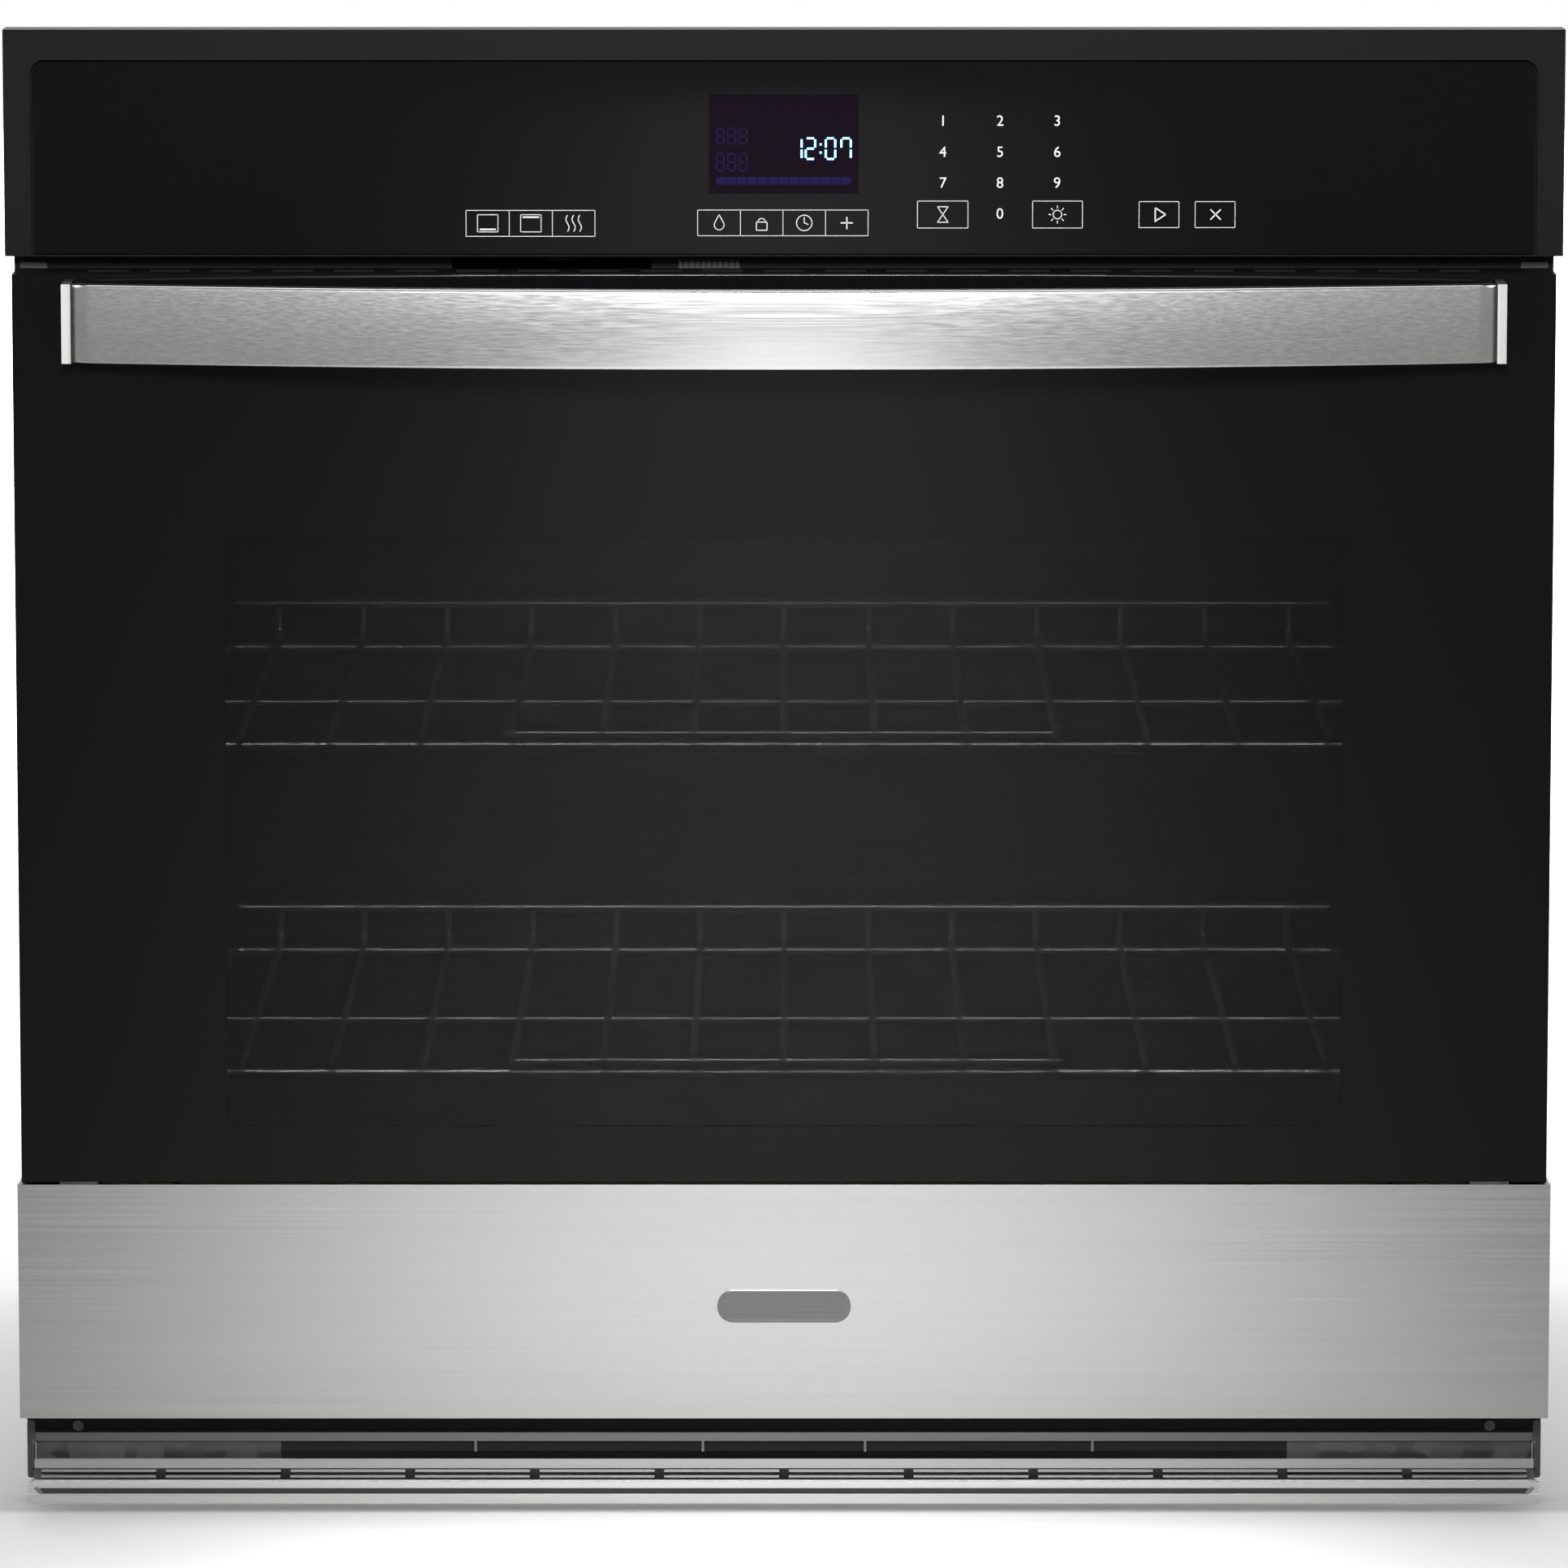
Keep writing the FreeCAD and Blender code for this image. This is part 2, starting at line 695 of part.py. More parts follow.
def make_sensor_and_lamp():
    probe = rod("sensor_probe", "y", "3", "130", "sensor_across", "400", "sensor_level")
    tip = ball("sensor_tip", "3", "sensor_across", "400", "sensor_level")
    plate = block("sensor_plate", ("sensor_across - 14", "sensor_across + 14"),
                  ("cavity_back - 1.2", "cavity_back"),
                  ("sensor_level - 8", "sensor_level + 8"))
    node(fuse("temperature_sensor", probe, tip, plate), "temperature_sensor")

    across, level = "lamp_across", "lamp_level"
    start = "cavity_back + liner_gauge"
    can = rod("lamp_can", "y", "lamp_radius", "42", across, start, level)
    bore = rod("lamp_can_bore", "y", "lamp_radius - 1.5", "41", across, f"{start} - 1", level)
    socket_hole = rod("lamp_socket_hole", "y", "9.2", "10", across, f"{start} + 36", level)
    node(cut("lamp_housing", can, bore, socket_hole), "lamp_housing")

    globe = ball("bulb_globe", "13", across, "cavity_back + 16", level)
    stem = rod("bulb_stem", "y", "9", "24", across, "cavity_back + 24", level)
    node(fuse("lamp_bulb", globe, stem), "lamp_bulb")

    cup = rod("lens_outside", "y", "31", "11", across, "cavity_back - 11", level)
    hollow = rod("lens_hollow", "y", "28", "11", across, "cavity_back - 8", level)
    node(cut("lamp_lens", cup, hollow), "lamp_lens")


# Cooling air and electrical parts on the upper deck

def make_cooling():
    tube = rod("vent_tube_outside", "z", "vent_radius", "deck_top - cavity_roof", "duct_middle", "vent_back",
               "cavity_roof")
    bore = rod("vent_tube_bore", "z", "vent_radius - 0.8", "deck_top - cavity_roof + 2", "duct_middle",
               "vent_back", "cavity_roof - 1")
    node(cut("vent_tube", tube, bore), "vent_tube")

    wall = "0.8"
    across = ("duct_middle - duct_half", "duct_middle + duct_half")
    inner = (f"duct_middle - duct_half + {wall}", f"duct_middle + duct_half - {wall}")
    up = ("deck_top", "deck_top + duct_height")
    inner_up = (f"deck_top + {wall}", f"deck_top + duct_height - {wall}")
    duct = block("duct_outside", across, ("0", "duct_length"), up)
    bore = block("duct_inside", inner, ("-1", "duct_length + 1"), inner_up)
    port = rod("duct_port", "z", "vent_radius - 0.8", "3", "duct_middle", "vent_back", "deck_top - 1")
    node(cut("cooling_duct", duct, bore, port), "cooling_duct")

    drum = rod("blower_drum", "z", "blower_radius", "blower_height", "duct_middle", "blower_back",
               "deck_top")
    neck = block("blower_neck", across, ("duct_length", "blower_back"), up)
    drum_space = rod("blower_space", "z", f"blower_radius - {wall}", f"blower_height - 2 * {wall}",
                     "duct_middle", "blower_back", f"deck_top + {wall}")
    neck_space = block("blower_neck_space", inner, ("duct_length - 1", "blower_back"), inner_up)
    inlet = rod("blower_inlet", "z", "blower_inlet_radius", "4", "duct_middle", "blower_back",
                "deck_top + blower_height - 2")
    node(cut("blower_housing", fuse("blower_blank", drum, neck), drum_space, neck_space, inlet),
         "blower_housing")

    top = "deck_top + blower_height"
    legs = []
    for k in range(3):
        angle = math.radians(90 + 120 * k)
        legs.append(rod("motor_leg", "z", "3", "8", f"duct_middle + motor_leg_ring * {math.cos(angle):.6f}",
                        f"blower_back + motor_leg_ring * {math.sin(angle):.6f}", top))
    plate = rod("motor_plate", "z", "motor_plate_radius", "1.5", "duct_middle", "blower_back", f"{top} + 8")
    can = rod("motor_can", "z", "motor_radius", "motor_height", "duct_middle", "blower_back", f"{top} + 9.5")
    shaft = rod("motor_shaft", "z", "shaft_radius", "48", "duct_middle", "blower_back", f"{top} - 40")
    node(fuse("blower_motor", plate, can, shaft, *legs), "blower_motor")


def make_blower_wheel():
    """A drum of blades between a floor disc and a rim, drawn about its own axis."""
    wheel = new_body("blower_wheel")

    def ring(radius, hole):
        def draw(sketch):
            circle(sketch, "0", "0", radius)
            circle(sketch, "0", "0", hole)
        return draw

    bore = "shaft_radius + 0.05"
    pad(wheel, "z", ring("wheel_radius", bore), ("0", "1.5"))
    pad(wheel, "z", ring("9", bore), ("1.5", "20"))
    pad(wheel, "z", ring("wheel_radius", "wheel_radius - 4"), ("38", "40"))
    blade = pad(wheel, "z", boxed(("wheel_radius - 12", "wheel_radius - 0.5"), ("-0.6", "0.6")),
                ("1.5", "39"))
    doc.recompute()
    blades = wheel.newObject("PartDesign::PolarPattern", "wheel_blades")
    blades.Originals = [blade]
    blades.Axis = (next(part for part in wheel.Origin.OriginFeatures if part.Role == "Z_Axis"), [""])
    blades.Angle = 360
    blades.Occurrences = int(size("wheel_blades"))
    wheel.Tip = blades
    node(place(wheel, "duct_middle", "blower_back", "deck_top + 6"), "blower_wheel")


def make_electrics():
    """The control relays, the supply box and the over-temperature switch."""
    board = block("relay_plate", ("60", "240"), ("60", "200"), ("deck_top + 8", "deck_top + 9.6"))
    posts = [rod("relay_post", "z", "3", "8", x, y, "deck_top")
             for x in ("70", "230") for y in ("70", "190")]
    relays = [block("relay", (f"{x}", f"{x} + 18"), ("80", "108"), ("deck_top + 9.6", "deck_top + 26"))
              for x in (80, 104, 128, 152, 176)]
    transformer = block("transformer", ("80", "130"), ("135", "175"), ("deck_top + 9.6", "deck_top + 42"))
    node(fuse("relay_board", board, *posts, *relays, transformer), "relay_board")

    rear = "chassis_depth - gauge"
    across, level = "junction_across", "junction_level"
    wall = "junction_gauge"
    box = block("junction_outside", (f"{across} - 45", f"{across} + 45"), (f"{rear} - 62", rear),
                (f"{level} - 32", f"{level} + 32"))
    space = block("junction_inside", (f"{across} - 45 + {wall}", f"{across} + 45 - {wall}"),
                  (f"{rear} - 63", f"{rear} - {wall}"), (f"{level} - 32 + {wall}", f"{level} + 32 - {wall}"))
    entry = rod("junction_entry", "y", "conduit_radius", "6", across, f"{rear} - 4", level)
    node(cut("junction_box", box, space, entry), "junction_box")

    cup = rod("cutout_cup", "z", "9", "10", "-20", "250", "deck_top")
    blades = [block("cutout_blade", (x, f"{x} + 1"), ("247", "253"), ("deck_top + 10", "deck_top + 20"))
              for x in ("-25", "-16")]
    node(fuse("thermal_cutout", cup, *blades), "thermal_cutout")


# Door latch and light switch

def make_latch():
    case = block("latch_case", ("-25", "25"), ("latch_back - 15", "latch_back + 35"),
                 ("deck_top", "deck_top + 22"))
    can = rod("latch_can", "z", "18", "20", "0", "latch_back + 16", "deck_top + 22")
    shaft = rod("latch_shaft", "z", "shaft_radius", "deck_top - latch_level + 1", "0", "latch_back",
                "latch_level - 1")
    node(fuse("latch_motor", case, can, shaft), "latch_motor")

    hook = new_body("latch_hook")
    outline = [("-5", "latch_back"), ("-5", "-29"), ("14", "-29"), ("14", "-22.6"), ("5", "-22.6"),
               ("5", "latch_back")]
    thick = ("latch_level", "latch_level + latch_plate")
    pad(hook, "z", lambda sketch: polygon(sketch, outline), thick)
    pad(hook, "z", lambda sketch: circle(sketch, "0", "latch_back", "9"), thick)
    pocket(hook, "z", lambda sketch: circle(sketch, "0", "latch_back", "shaft_radius + 0.05"), thick)
    node(hook, "latch_hook")


def make_light_switch():
    across, level = "plunger_across", "plunger_level"
    case = block("switch_case", (f"{across} - 9", f"{across} + 9"), ("0", "28"),
                 (f"{level} - 7", f"{level} + 7"))
    bore = rod("switch_bore", "y", "plunger_radius + 0.08", "27", across, "-1", level)
    node(cut("light_switch_housing", case, bore), "light_switch_housing")
    stem = rod("plunger_stem", "y", "plunger_radius", "24", across, "-8.6", level)
    nose = ball("plunger_nose", "plunger_radius", across, "-8.6", level)
    node(fuse("light_switch_plunger", stem, nose), "light_switch_plunger")


# Hinges

def make_hinges():
    pivot = ("pivot_back", "pivot_level")

    def receiver(name, side):
        near, far = "hinge_across - 6", "hinge_across + 6"
        shell = block(name + "_shell", span(side, near, far), ("0", "60"), ("22", "64"))
        space = block(name + "_space", span(side, f"{near} + 2", f"{far} - 2"), ("-1", "58"), ("24", "62"))
        rivet = rod(name + "_rivet", "x", "3", "11", f"{side} * hinge_across - 5.5", "30", "54")
        return fuse(name, cut(name + "_channel", shell, space), rivet)

    def arm(name, side):
        body = new_body(name)
        width = span(side, "hinge_across - 2", "hinge_across + 2")
        pad(body, "x", boxed(("pivot_back", "52"), ("pivot_level - 6.5", "pivot_level + 6.5")), width)
        pad(body, "x", lambda sketch: circle(sketch, *pivot, "9"), width)
        pocket(body, "x", lambda sketch: circle(sketch, *pivot, "pin_radius + 0.06"), width)
        return body

    def channel(name, side):
        body = new_body(name)
        plates = (("hinge_across - channel_half", "hinge_across - channel_half + channel_gauge"),
                  ("hinge_across + channel_half - channel_gauge", "hinge_across + channel_half"))
        whole = span(side, plates[0][0], plates[1][1])
        for near, far in plates:
            pad(body, "x", boxed(("channel_front", "channel_back"), ("channel_low", "channel_high")),
                span(side, near, far))
        pad(body, "y", boxed(whole, ("62", "channel_high")),
            ("channel_front", "channel_front + channel_gauge"))
        pad(body, "z", boxed(whole, ("channel_front", "channel_back")), ("spring_low - 2", "spring_low"))
        pocket(body, "x", lambda sketch: circle(sketch, *pivot, "pin_radius + 0.05"), whole)
        middle = f"{side} * hinge_across"
        pocket(body, "z", lambda sketch: circle(sketch, middle, "rod_back", "rod_radius + 0.3"),
               ("spring_low - 2", "spring_low"))
        return body

    def pin(name, side):
        return rod(name, "x", "pin_radius", "21", f"{side} * hinge_across - 10.5", *pivot)

    def spring_rod(name, side):
        across = f"{side} * hinge_across"
        shaft = rod(name + "_shaft", "z", "rod_radius", "170", across, "rod_back", "80")
        nut = rod(name + "_nut", "z", "6.2", "8", across, "rod_back", "spring_high + 0.4")
        return fuse(name, shaft, nut)

    def spring(name, side):
        helix = doc.addObject("Part::Helix", name + "_path")
        helix.setExpression("Pitch",
                            bound("(spring_high - spring_low - 2 * spring_wire - 0.6) / spring_coils"))
        helix.setExpression("Height", bound("spring_high - spring_low - 2 * spring_wire - 0.6"))
        helix.setExpression("Radius", bound("spring_radius"))
        ring = doc.addObject("Part::Circle", name + "_section")
        ring.setExpression("Radius", bound("spring_wire"))
        ring.Placement = Placement(Vector(), Rotation(Vector(1, 0, 0), 90))
        place(ring, "spring_radius", "0", "0")
        coil = doc.addObject("Part::Sweep", name)
        coil.Sections = [ring]
        coil.Spine = (helix, ["Edge1"])
        coil.Solid = True
        coil.Frenet = True
        return place(coil, f"{side} * hinge_across", "rod_back", "spring_low + spring_wire + 0.3")

    pieces = (("hinge_receivers", receiver), ("hinge_arms", arm), ("hinge_channels", channel),
              ("hinge_pins", pin), ("hinge_rods", spring_rod), ("hinge_springs", spring))
    for label, make in pieces:
        node(group(label, *both_sides(label[:-1], make)), label)


# Door

def pane(label, half, up, depth):
    """A flat rectangular sheet of glass."""
    body = new_body(label)
    pad(body, "y", boxed((f"-{half}", half), up), depth)
    node(body, label)


def make_door():
    pane("door_outer_glass", "door_half", ("pane_bottom", "door_top"), ("pane_front", "pane_back"))
    inner_up = ("inner_pane_low", "inner_pane_high")
    pane("door_middle_glass", "inner_pane_half", inner_up, ("-28", "-25"))
    pane("door_inner_glass", "inner_pane_half", inner_up, ("plug_face - 5.5", "plug_face - 1.5"))

    shell = block("lower_outside", ("-panel_half", "panel_half"), ("panel_front", "door_inside - 2"),
                  ("door_bottom", "panel_top"))
    space = block("lower_inside", ("-panel_half + gauge", "panel_half - gauge"),
                  ("panel_front + gauge", "door_inside"), ("door_bottom + gauge", "panel_top - gauge"))
    behind = block("lower_behind", ("-panel_half - 1", "panel_half + 1"), ("pane_back", "door_inside"),
                   ("panel_top - gauge", "panel_top + 1"))
    notches = both_sides("lower_notch", lambda name, side: block(
        name, span(side, "hinge_across - 6", "hinge_across + 6"), ("-40", "door_inside"),
        ("door_bottom - 1", "door_bottom + gauge + 1")))
    node(cut("door_lower_panel", shell, space, behind, *notches), "door_lower_panel")

    trim_half = "door_half - 2"
    trim = block("top_trim_outside", (f"-({trim_half})", trim_half), ("pane_back", "door_inside"),
                 ("door_top - top_trim_depth", "door_top"))
    hollow = block("top_trim_inside", (f"-({trim_half}) + 1", f"{trim_half} - 1"),
                   ("pane_back + 1", "door_inside - 1"),
                   ("door_top - top_trim_depth - 1", "door_top - 1"))
    half_slot = "top_trim_slot_width / 2"
    slots = [block("top_trim_slot", (f"{k} * top_trim_slot_pitch - {half_slot}",
                                     f"{k} * top_trim_slot_pitch + {half_slot}"),
                   ("-32", "-22"), ("door_top - 2", "door_top + 1"))
             for k in range(-11, 12)]
    node(cut("door_top_trim", trim, hollow, *slots), "door_top_trim")

    sides = both_sides("door_side_trim", lambda name, side: block(
        name, span(side, trim_half, "door_half"), ("pane_back", "door_inside"), ("pane_bottom", "door_top")))
    node(group("door_side_trims", *sides), "door_side_trims")

    sheet_front = "door_inside - 2"
    plate = block("inner_plate", (f"-({trim_half})", trim_half), (sheet_front, "door_inside"),
                  ("door_bottom + 1", "door_top - 8.5"))
    plug = block("inner_plug", ("-plug_half", "plug_half"), (sheet_front, "plug_face"),
                 ("plug_low", "plug_high"))
    hollow = block("inner_hollow", ("-plug_half + 1.5", "plug_half - 1.5"),
                   (f"{sheet_front} - 1", "plug_face - 1.5"),
                   ("plug_low + 1.5", "plug_high - 1.5"))
    window = block("inner_window", ("-window_half", "window_half"), (f"{sheet_front} - 1", "1"),
                   ("window_low", "window_high"))
    latch_slot = block("inner_latch_slot", ("-8", "22"), (f"{sheet_front} - 1", "0"),
                       ("latch_level - 4", "latch_level + 7"))
    notches = both_sides("inner_notch", lambda name, side: block(
        name, span(side, "hinge_across - 11", "hinge_across + 11"), (f"{sheet_front} - 1", "0"),
        ("door_bottom", "64")))
    node(cut("door_inner_panel", fuse("inner_blank", plate, plug), hollow, window, latch_slot, *notches),
         "door_inner_panel")

    wool = new_body("door_insulation")
    depth = ("wool_front", f"{sheet_front} - 0.2")
    pad(wool, "y", boxed(("-wool_half", "wool_half"), ("wool_low", "wool_high")), depth)
    pocket(wool, "y", boxed(("-inner_pane_half", "inner_pane_half"), inner_up), depth)
    node(wool, "door_insulation")


def make_handle():
    """A flat bar bowed along an arc, held off the glass by a polished cap at each end."""
    up = ("handle_low", "handle_high")
    height = "handle_high - handle_low"
    centre = "handle_front + handle_bow_radius"
    outer = rod("handle_outer", "z", "handle_bow_radius", height, "0", centre, up[0])
    inner = rod("handle_inner", "z", "handle_bow_radius - handle_thickness", height, "0", centre, up[0])
    inside = "handle_half - handle_cap"
    stretch = block("handle_stretch", (f"-({inside})", inside), ("-100", "-48"), up)
    band = cut("handle_band", outer, inner)
    bar = doc.addObject("Part::Common", "handle_bar")
    bar.Base = band
    bar.Tool = stretch
    doc.recompute()
    front = [edge for edge in enumerate(bar.Shape.Edges, start=1)
             if edge[1].Length > 600 and edge[1].BoundBox.YMin < size("handle_front") + 1]
    soft = doc.addObject("Part::Fillet", "door_handle")
    soft.Base = bar
    soft.Edges = [(number, size("handle_edge"), size("handle_edge")) for number, edge in front]
    node(soft, "door_handle")

    caps = both_sides("handle_cap", lambda name, side: block(
        name, span(side, inside, "handle_half"), ("handle_cap_front", "pane_front"), up))
    node(group("handle_end_posts", *caps), "handle_end_posts")

    badge = new_body("name_badge")
    pad(badge, "y", boxed(("-badge_half", "badge_half"), ("badge_low", "badge_high")),
        ("panel_front - badge_thickness", "panel_front"))
    round_edges(badge, "(badge_high - badge_low) / 2 - 0.1", lambda edge: runs_along(edge, Vector(0, 1, 0)))
    node(badge, "name_badge")


# Control panel

def make_controls():
    frame = new_body("control_frame")
    up = ("control_low", "control_high")
    pad(frame, "y", boxed(("-control_half", "control_half"), up), ("control_front", "-flange_gauge"))
    pocket(frame, "y", boxed(("-control_pane_half - 1", "control_pane_half + 1"),
                             ("control_pane_low - 0.6", "control_pane_high + 1")),
           ("control_front", "control_pane_back"))
    pane_top = size("control_pane_high")

    def recess_corner(edge):
        at = edge.CenterOfMass
        return runs_along(edge, Vector(0, 1, 0)) and pane_top < at.z < pane_top + 2

    round_edges(frame, "control_corner + 1", recess_corner)
    pocket(frame, "y", boxed(("-control_half + 2", "control_half - 2"),
                             ("control_low + 2", "control_high - 2")),
           ("board_back", "-flange_gauge"))
    pocket(frame, "y", boxed(("board_left - 1", "board_right + 1"), ("board_low - 1", "board_high + 1")),
           ("control_pane_back", "board_back"))
    node(frame, "control_frame")

    glass = new_body("control_glass")
    pad(glass, "y", boxed(("-control_pane_half", "control_pane_half"),
                          ("control_pane_low", "control_pane_high")),
        ("control_pane_front", "control_pane_back"))
    round_edges(glass, "control_corner", lambda edge: runs_along(edge, Vector(0, 1, 0))
                and edge.CenterOfMass.z > pane_top - 1)
    node(glass, "control_glass")

    board = new_body("touch_board")
    depth = ("board_front", "board_back")
    pad(board, "y", boxed(("board_left", "board_right"), ("board_low", "board_high")), depth)
    pocket(board, "y", boxed(("-display_half - 2", "display_half + 2"),
                             ("display_low - 2", "display_high + 2")), depth)
    node(board, "touch_board")
    module = block("display_module", ("-display_half", "display_half"), ("board_front", "display_back"),
                   ("display_low", "display_high"))
    node(module, "display_module")


# Air vent below the door

def make_vent():
    half = "vent_half"
    strip = block("strip_bar", (f"-{half}", half), ("-4", "-flange_gauge"),
                  ("vent_strip_low", "vent_strip_high"))
    tabs = [block("strip_tab", (f"{x} - vent_tab_half", f"{x} + vent_tab_half"), ("-4", "-2.7"),
                  ("0.5", "vent_strip_low"))
            for x in ("-vent_tab_far", "-vent_tab_near", "vent_tab_near", "vent_tab_far")]
    node(fuse("vent_top_strip", strip, *tabs), "vent_top_strip")

    plates = both_sides("vent_side_plate", lambda name, side: block(
        name, span(side, "vent_plate_inner", half), ("-flange_gauge", "-0.3"),
        ("vent_plate_low", "flange_bottom")))
    node(group("vent_side_plates", *plates), "vent_side_plates")

    def bracket(name, side):
        body = new_body(name)
        face = span(side, f"{half} + 0.2", "flange_half")
        pad(body, "y", boxed(face, ("bracket_low", "bracket_high")),
            ("-flange_gauge - 1.5", "-flange_gauge"))
        round_edges(body, "1.5", lambda edge: runs_along(edge, Vector(0, 1, 0)))
        pad(body, "x", boxed(("-11", "-flange_gauge - 1.5"), ("-6", "5")),
            span(side, f"{half} + 0.2", f"{half} + 1.4"))
        return body

    node(group("vent_side_brackets", *both_sides("vent_side_bracket", bracket)), "vent_side_brackets")

    louvre = new_body("vent_louvre_panel")
    profile = [("vent_lip_front", "vent_lip_high"), ("vent_lip_front", "vent_lip_low"),
               ("vent_foot_front", "vent_foot_high"), ("vent_foot_front", "vent_foot_low"),
               ("vent_lip_front + 1.2", "vent_lip_low - 0.75"),
               ("vent_lip_front + 1.2", "vent_lip_high")]
    pad(louvre, "x", lambda sketch: polygon(sketch, profile), (f"-{half}", half))
    first = "-(vent_slot_count - 1) / 2 * vent_slot_pitch - vent_slot_width / 2"
    slot = pocket(louvre, "z", boxed((first, f"{first} + vent_slot_width"), ("-19.6", "-13")), ("-13", "-4"))
    repeat(louvre, slot, "X_Axis", "vent_slot_pitch", "vent_slot_count")
    bar = [("-17.2", "-8.69"), ("-16", "-8.11"), ("-16", "-9.3"), ("-17.2", "-9.88")]
    pad(louvre, "x", lambda sketch: polygon(sketch, bar), (f"-{half}", half))
    node(louvre, "vent_louvre_panel")

    trim = new_body("vent_lower_trim")
    front, low, high = "vent_trim_front", "vent_trim_low", "vent_trim_high"
    channel = [(front, low), ("-flange_gauge", low), ("-flange_gauge", "-14"), ("-2.7", "-14"),
               ("-2.7", f"{low} + 1.2"),
               (f"{front} + 1.6", f"{low} + 1.2"), (f"{front} + 1.6", high), (front, high),
               (front, "trim_groove_high"),
               (f"{front} + trim_groove_depth", "trim_groove_high"),
               (f"{front} + trim_groove_depth", "trim_groove_low"), (front, "trim_groove_low")]
    pad(trim, "x", lambda sketch: polygon(sketch, channel), ("-door_half", "door_half"))
    node(trim, "vent_lower_trim")


# Racks

def wire(name, start, end):
    """A straight wire between two points."""
    run = end - start
    stick = doc.addObject("Part::Cylinder", name)
    stick.setExpression("Radius", bound("rack_wire_radius"))
    stick.Height = run.Length
    stick.Placement = Placement(start, Rotation(Vector(0, 0, 1), run))
    return stick


def make_rack(label, level):
    """A welded wire rack: wires on a frame of thicker rod, a comb along the back and a raised nose."""
    front, back, half = "rack_front", "rack_back", "rack_rail_half"
    edge = f"({front} + rack_edge)"
    rail_at = f"{level} - rack_wire_radius - rack_rail_radius - weld_gap"
    thin_at = f"{level} - rack_wire_radius - rack_thin_radius - weld_gap"
    reach = f"({half} + rack_rail_radius)"
    inside = f"({half} - rack_rail_radius - weld_gap)"
    comb_at = f"{back} - rack_wire_radius - weld_gap"
    pieces = [
        rod(label + "_front_rail", "x", "rack_rail_radius", f"2 * {reach}", f"-{reach}", edge, rail_at),
        rod(label + "_cross_rail", "x", "rack_rail_radius", f"2 * {reach}", f"-{reach}", back, rail_at),
        rod(label + "_middle_rail", "x", "rack_thin_radius", f"2 * {inside}", f"-{inside}", "rack_middle",
            thin_at),
    ]
    side_from = f"{edge} + rack_rail_radius + weld_gap"
    side_run = f"{back} - {edge} - 2 * (rack_rail_radius + weld_gap)"
    for side in ("-", ""):
        pieces.append(rod(label + "_side_rail", "y", "rack_rail_radius", side_run, f"{side}{half}",
                          side_from, rail_at))

    comb = [rod(label + "_back_rail", "x", "rack_back_radius", "2 * rack_back_half", "-rack_back_half", back,
                f"{level} + rack_back_rise")]
    nose = [rod(label + "_nose_rail", "x", "rack_thin_radius", "2 * rack_nose_half", "-rack_nose_half",
                f"{front} + rack_nose_inset", f"{level} + rack_nose_rise - rack_nose_inset")]
    slope = Vector(0, size("rack_nose_length"), -size("rack_nose_rise"))
    each_side = int(size("rack_wires_each_side"))
    for k in range(-each_side, each_side + 1):
        across = f"{k} * rack_pitch"
        raised = abs(k) * size("rack_pitch") < size("rack_nose_half")
        near = f"{front} + rack_nose_length" if raised else front
        pieces.append(rod(label + "_wire", "y", "rack_wire_radius", f"{comb_at} - ({near})", across, near,
                          level))
        comb.append(rod(label + "_riser", "z", "rack_wire_radius", "rack_wire_radius + rack_back_rise",
                        across, back,
                        f"{level} - rack_wire_radius"))
        if raised:
            tip = Vector(k * size("rack_pitch"), size(front), size(level) + size("rack_nose_rise"))
            nose.append(wire(label + "_nose", tip, tip + 1.1 * slope))
    beyond = block("beyond_the_nose", (f"-{half}", half),
                   (f"{front} + rack_nose_length", f"{front} + 2 * rack_nose_length"),
                   (f"{level} - 9", f"{level} + 9"))
    pieces.append(fuse(label + "_comb", *comb))
    pieces.append(cut(label + "_nose_end", fuse(label + "_nose", *nose), beyond))
    node(group(label, *pieces), label)


def check_and_write():
    """Stop on any failed object, then write each sub-part to its own file."""
    doc.recompute()
    for thing in doc.Objects:
        if {"Invalid", "Error"} & set(thing.State):
            raise RuntimeError(f"{thing.Name} ({thing.Label}) failed: {thing.State}")
    os.makedirs("parts", exist_ok=True)
    for thing in NODES:
        shape = thing.Shape
        if shape.isNull() or not shape.isValid():
            raise RuntimeError(f"{thing.Label} has no valid shape")
        shape.exportStep(f"parts/{thing.Label}.step")
        print(f"{thing.Label:24s} {len(shape.Solids):2d} solids {shape.Volume / 1000:10.1f} cm3")
    print(len(NODES), "nodes")


make_chassis()
make_front_frame()
make_liner()
make_insulation()
make_gasket()
make_elements()
make_sensor_and_lamp()
make_cooling()
make_blower_wheel()
make_electrics()
make_latch()
make_light_switch()
make_hinges()
make_door()
make_handle()
make_controls()
make_vent()
make_rack("rack_upper", "rack_upper_level")
make_rack("rack_lower", "rack_lower_level")
check_and_write()
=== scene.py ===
"""The looks of a built-in wall oven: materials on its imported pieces, and the finer pieces that they carry."""
import math

import bmesh
import bpy
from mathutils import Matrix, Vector, noise


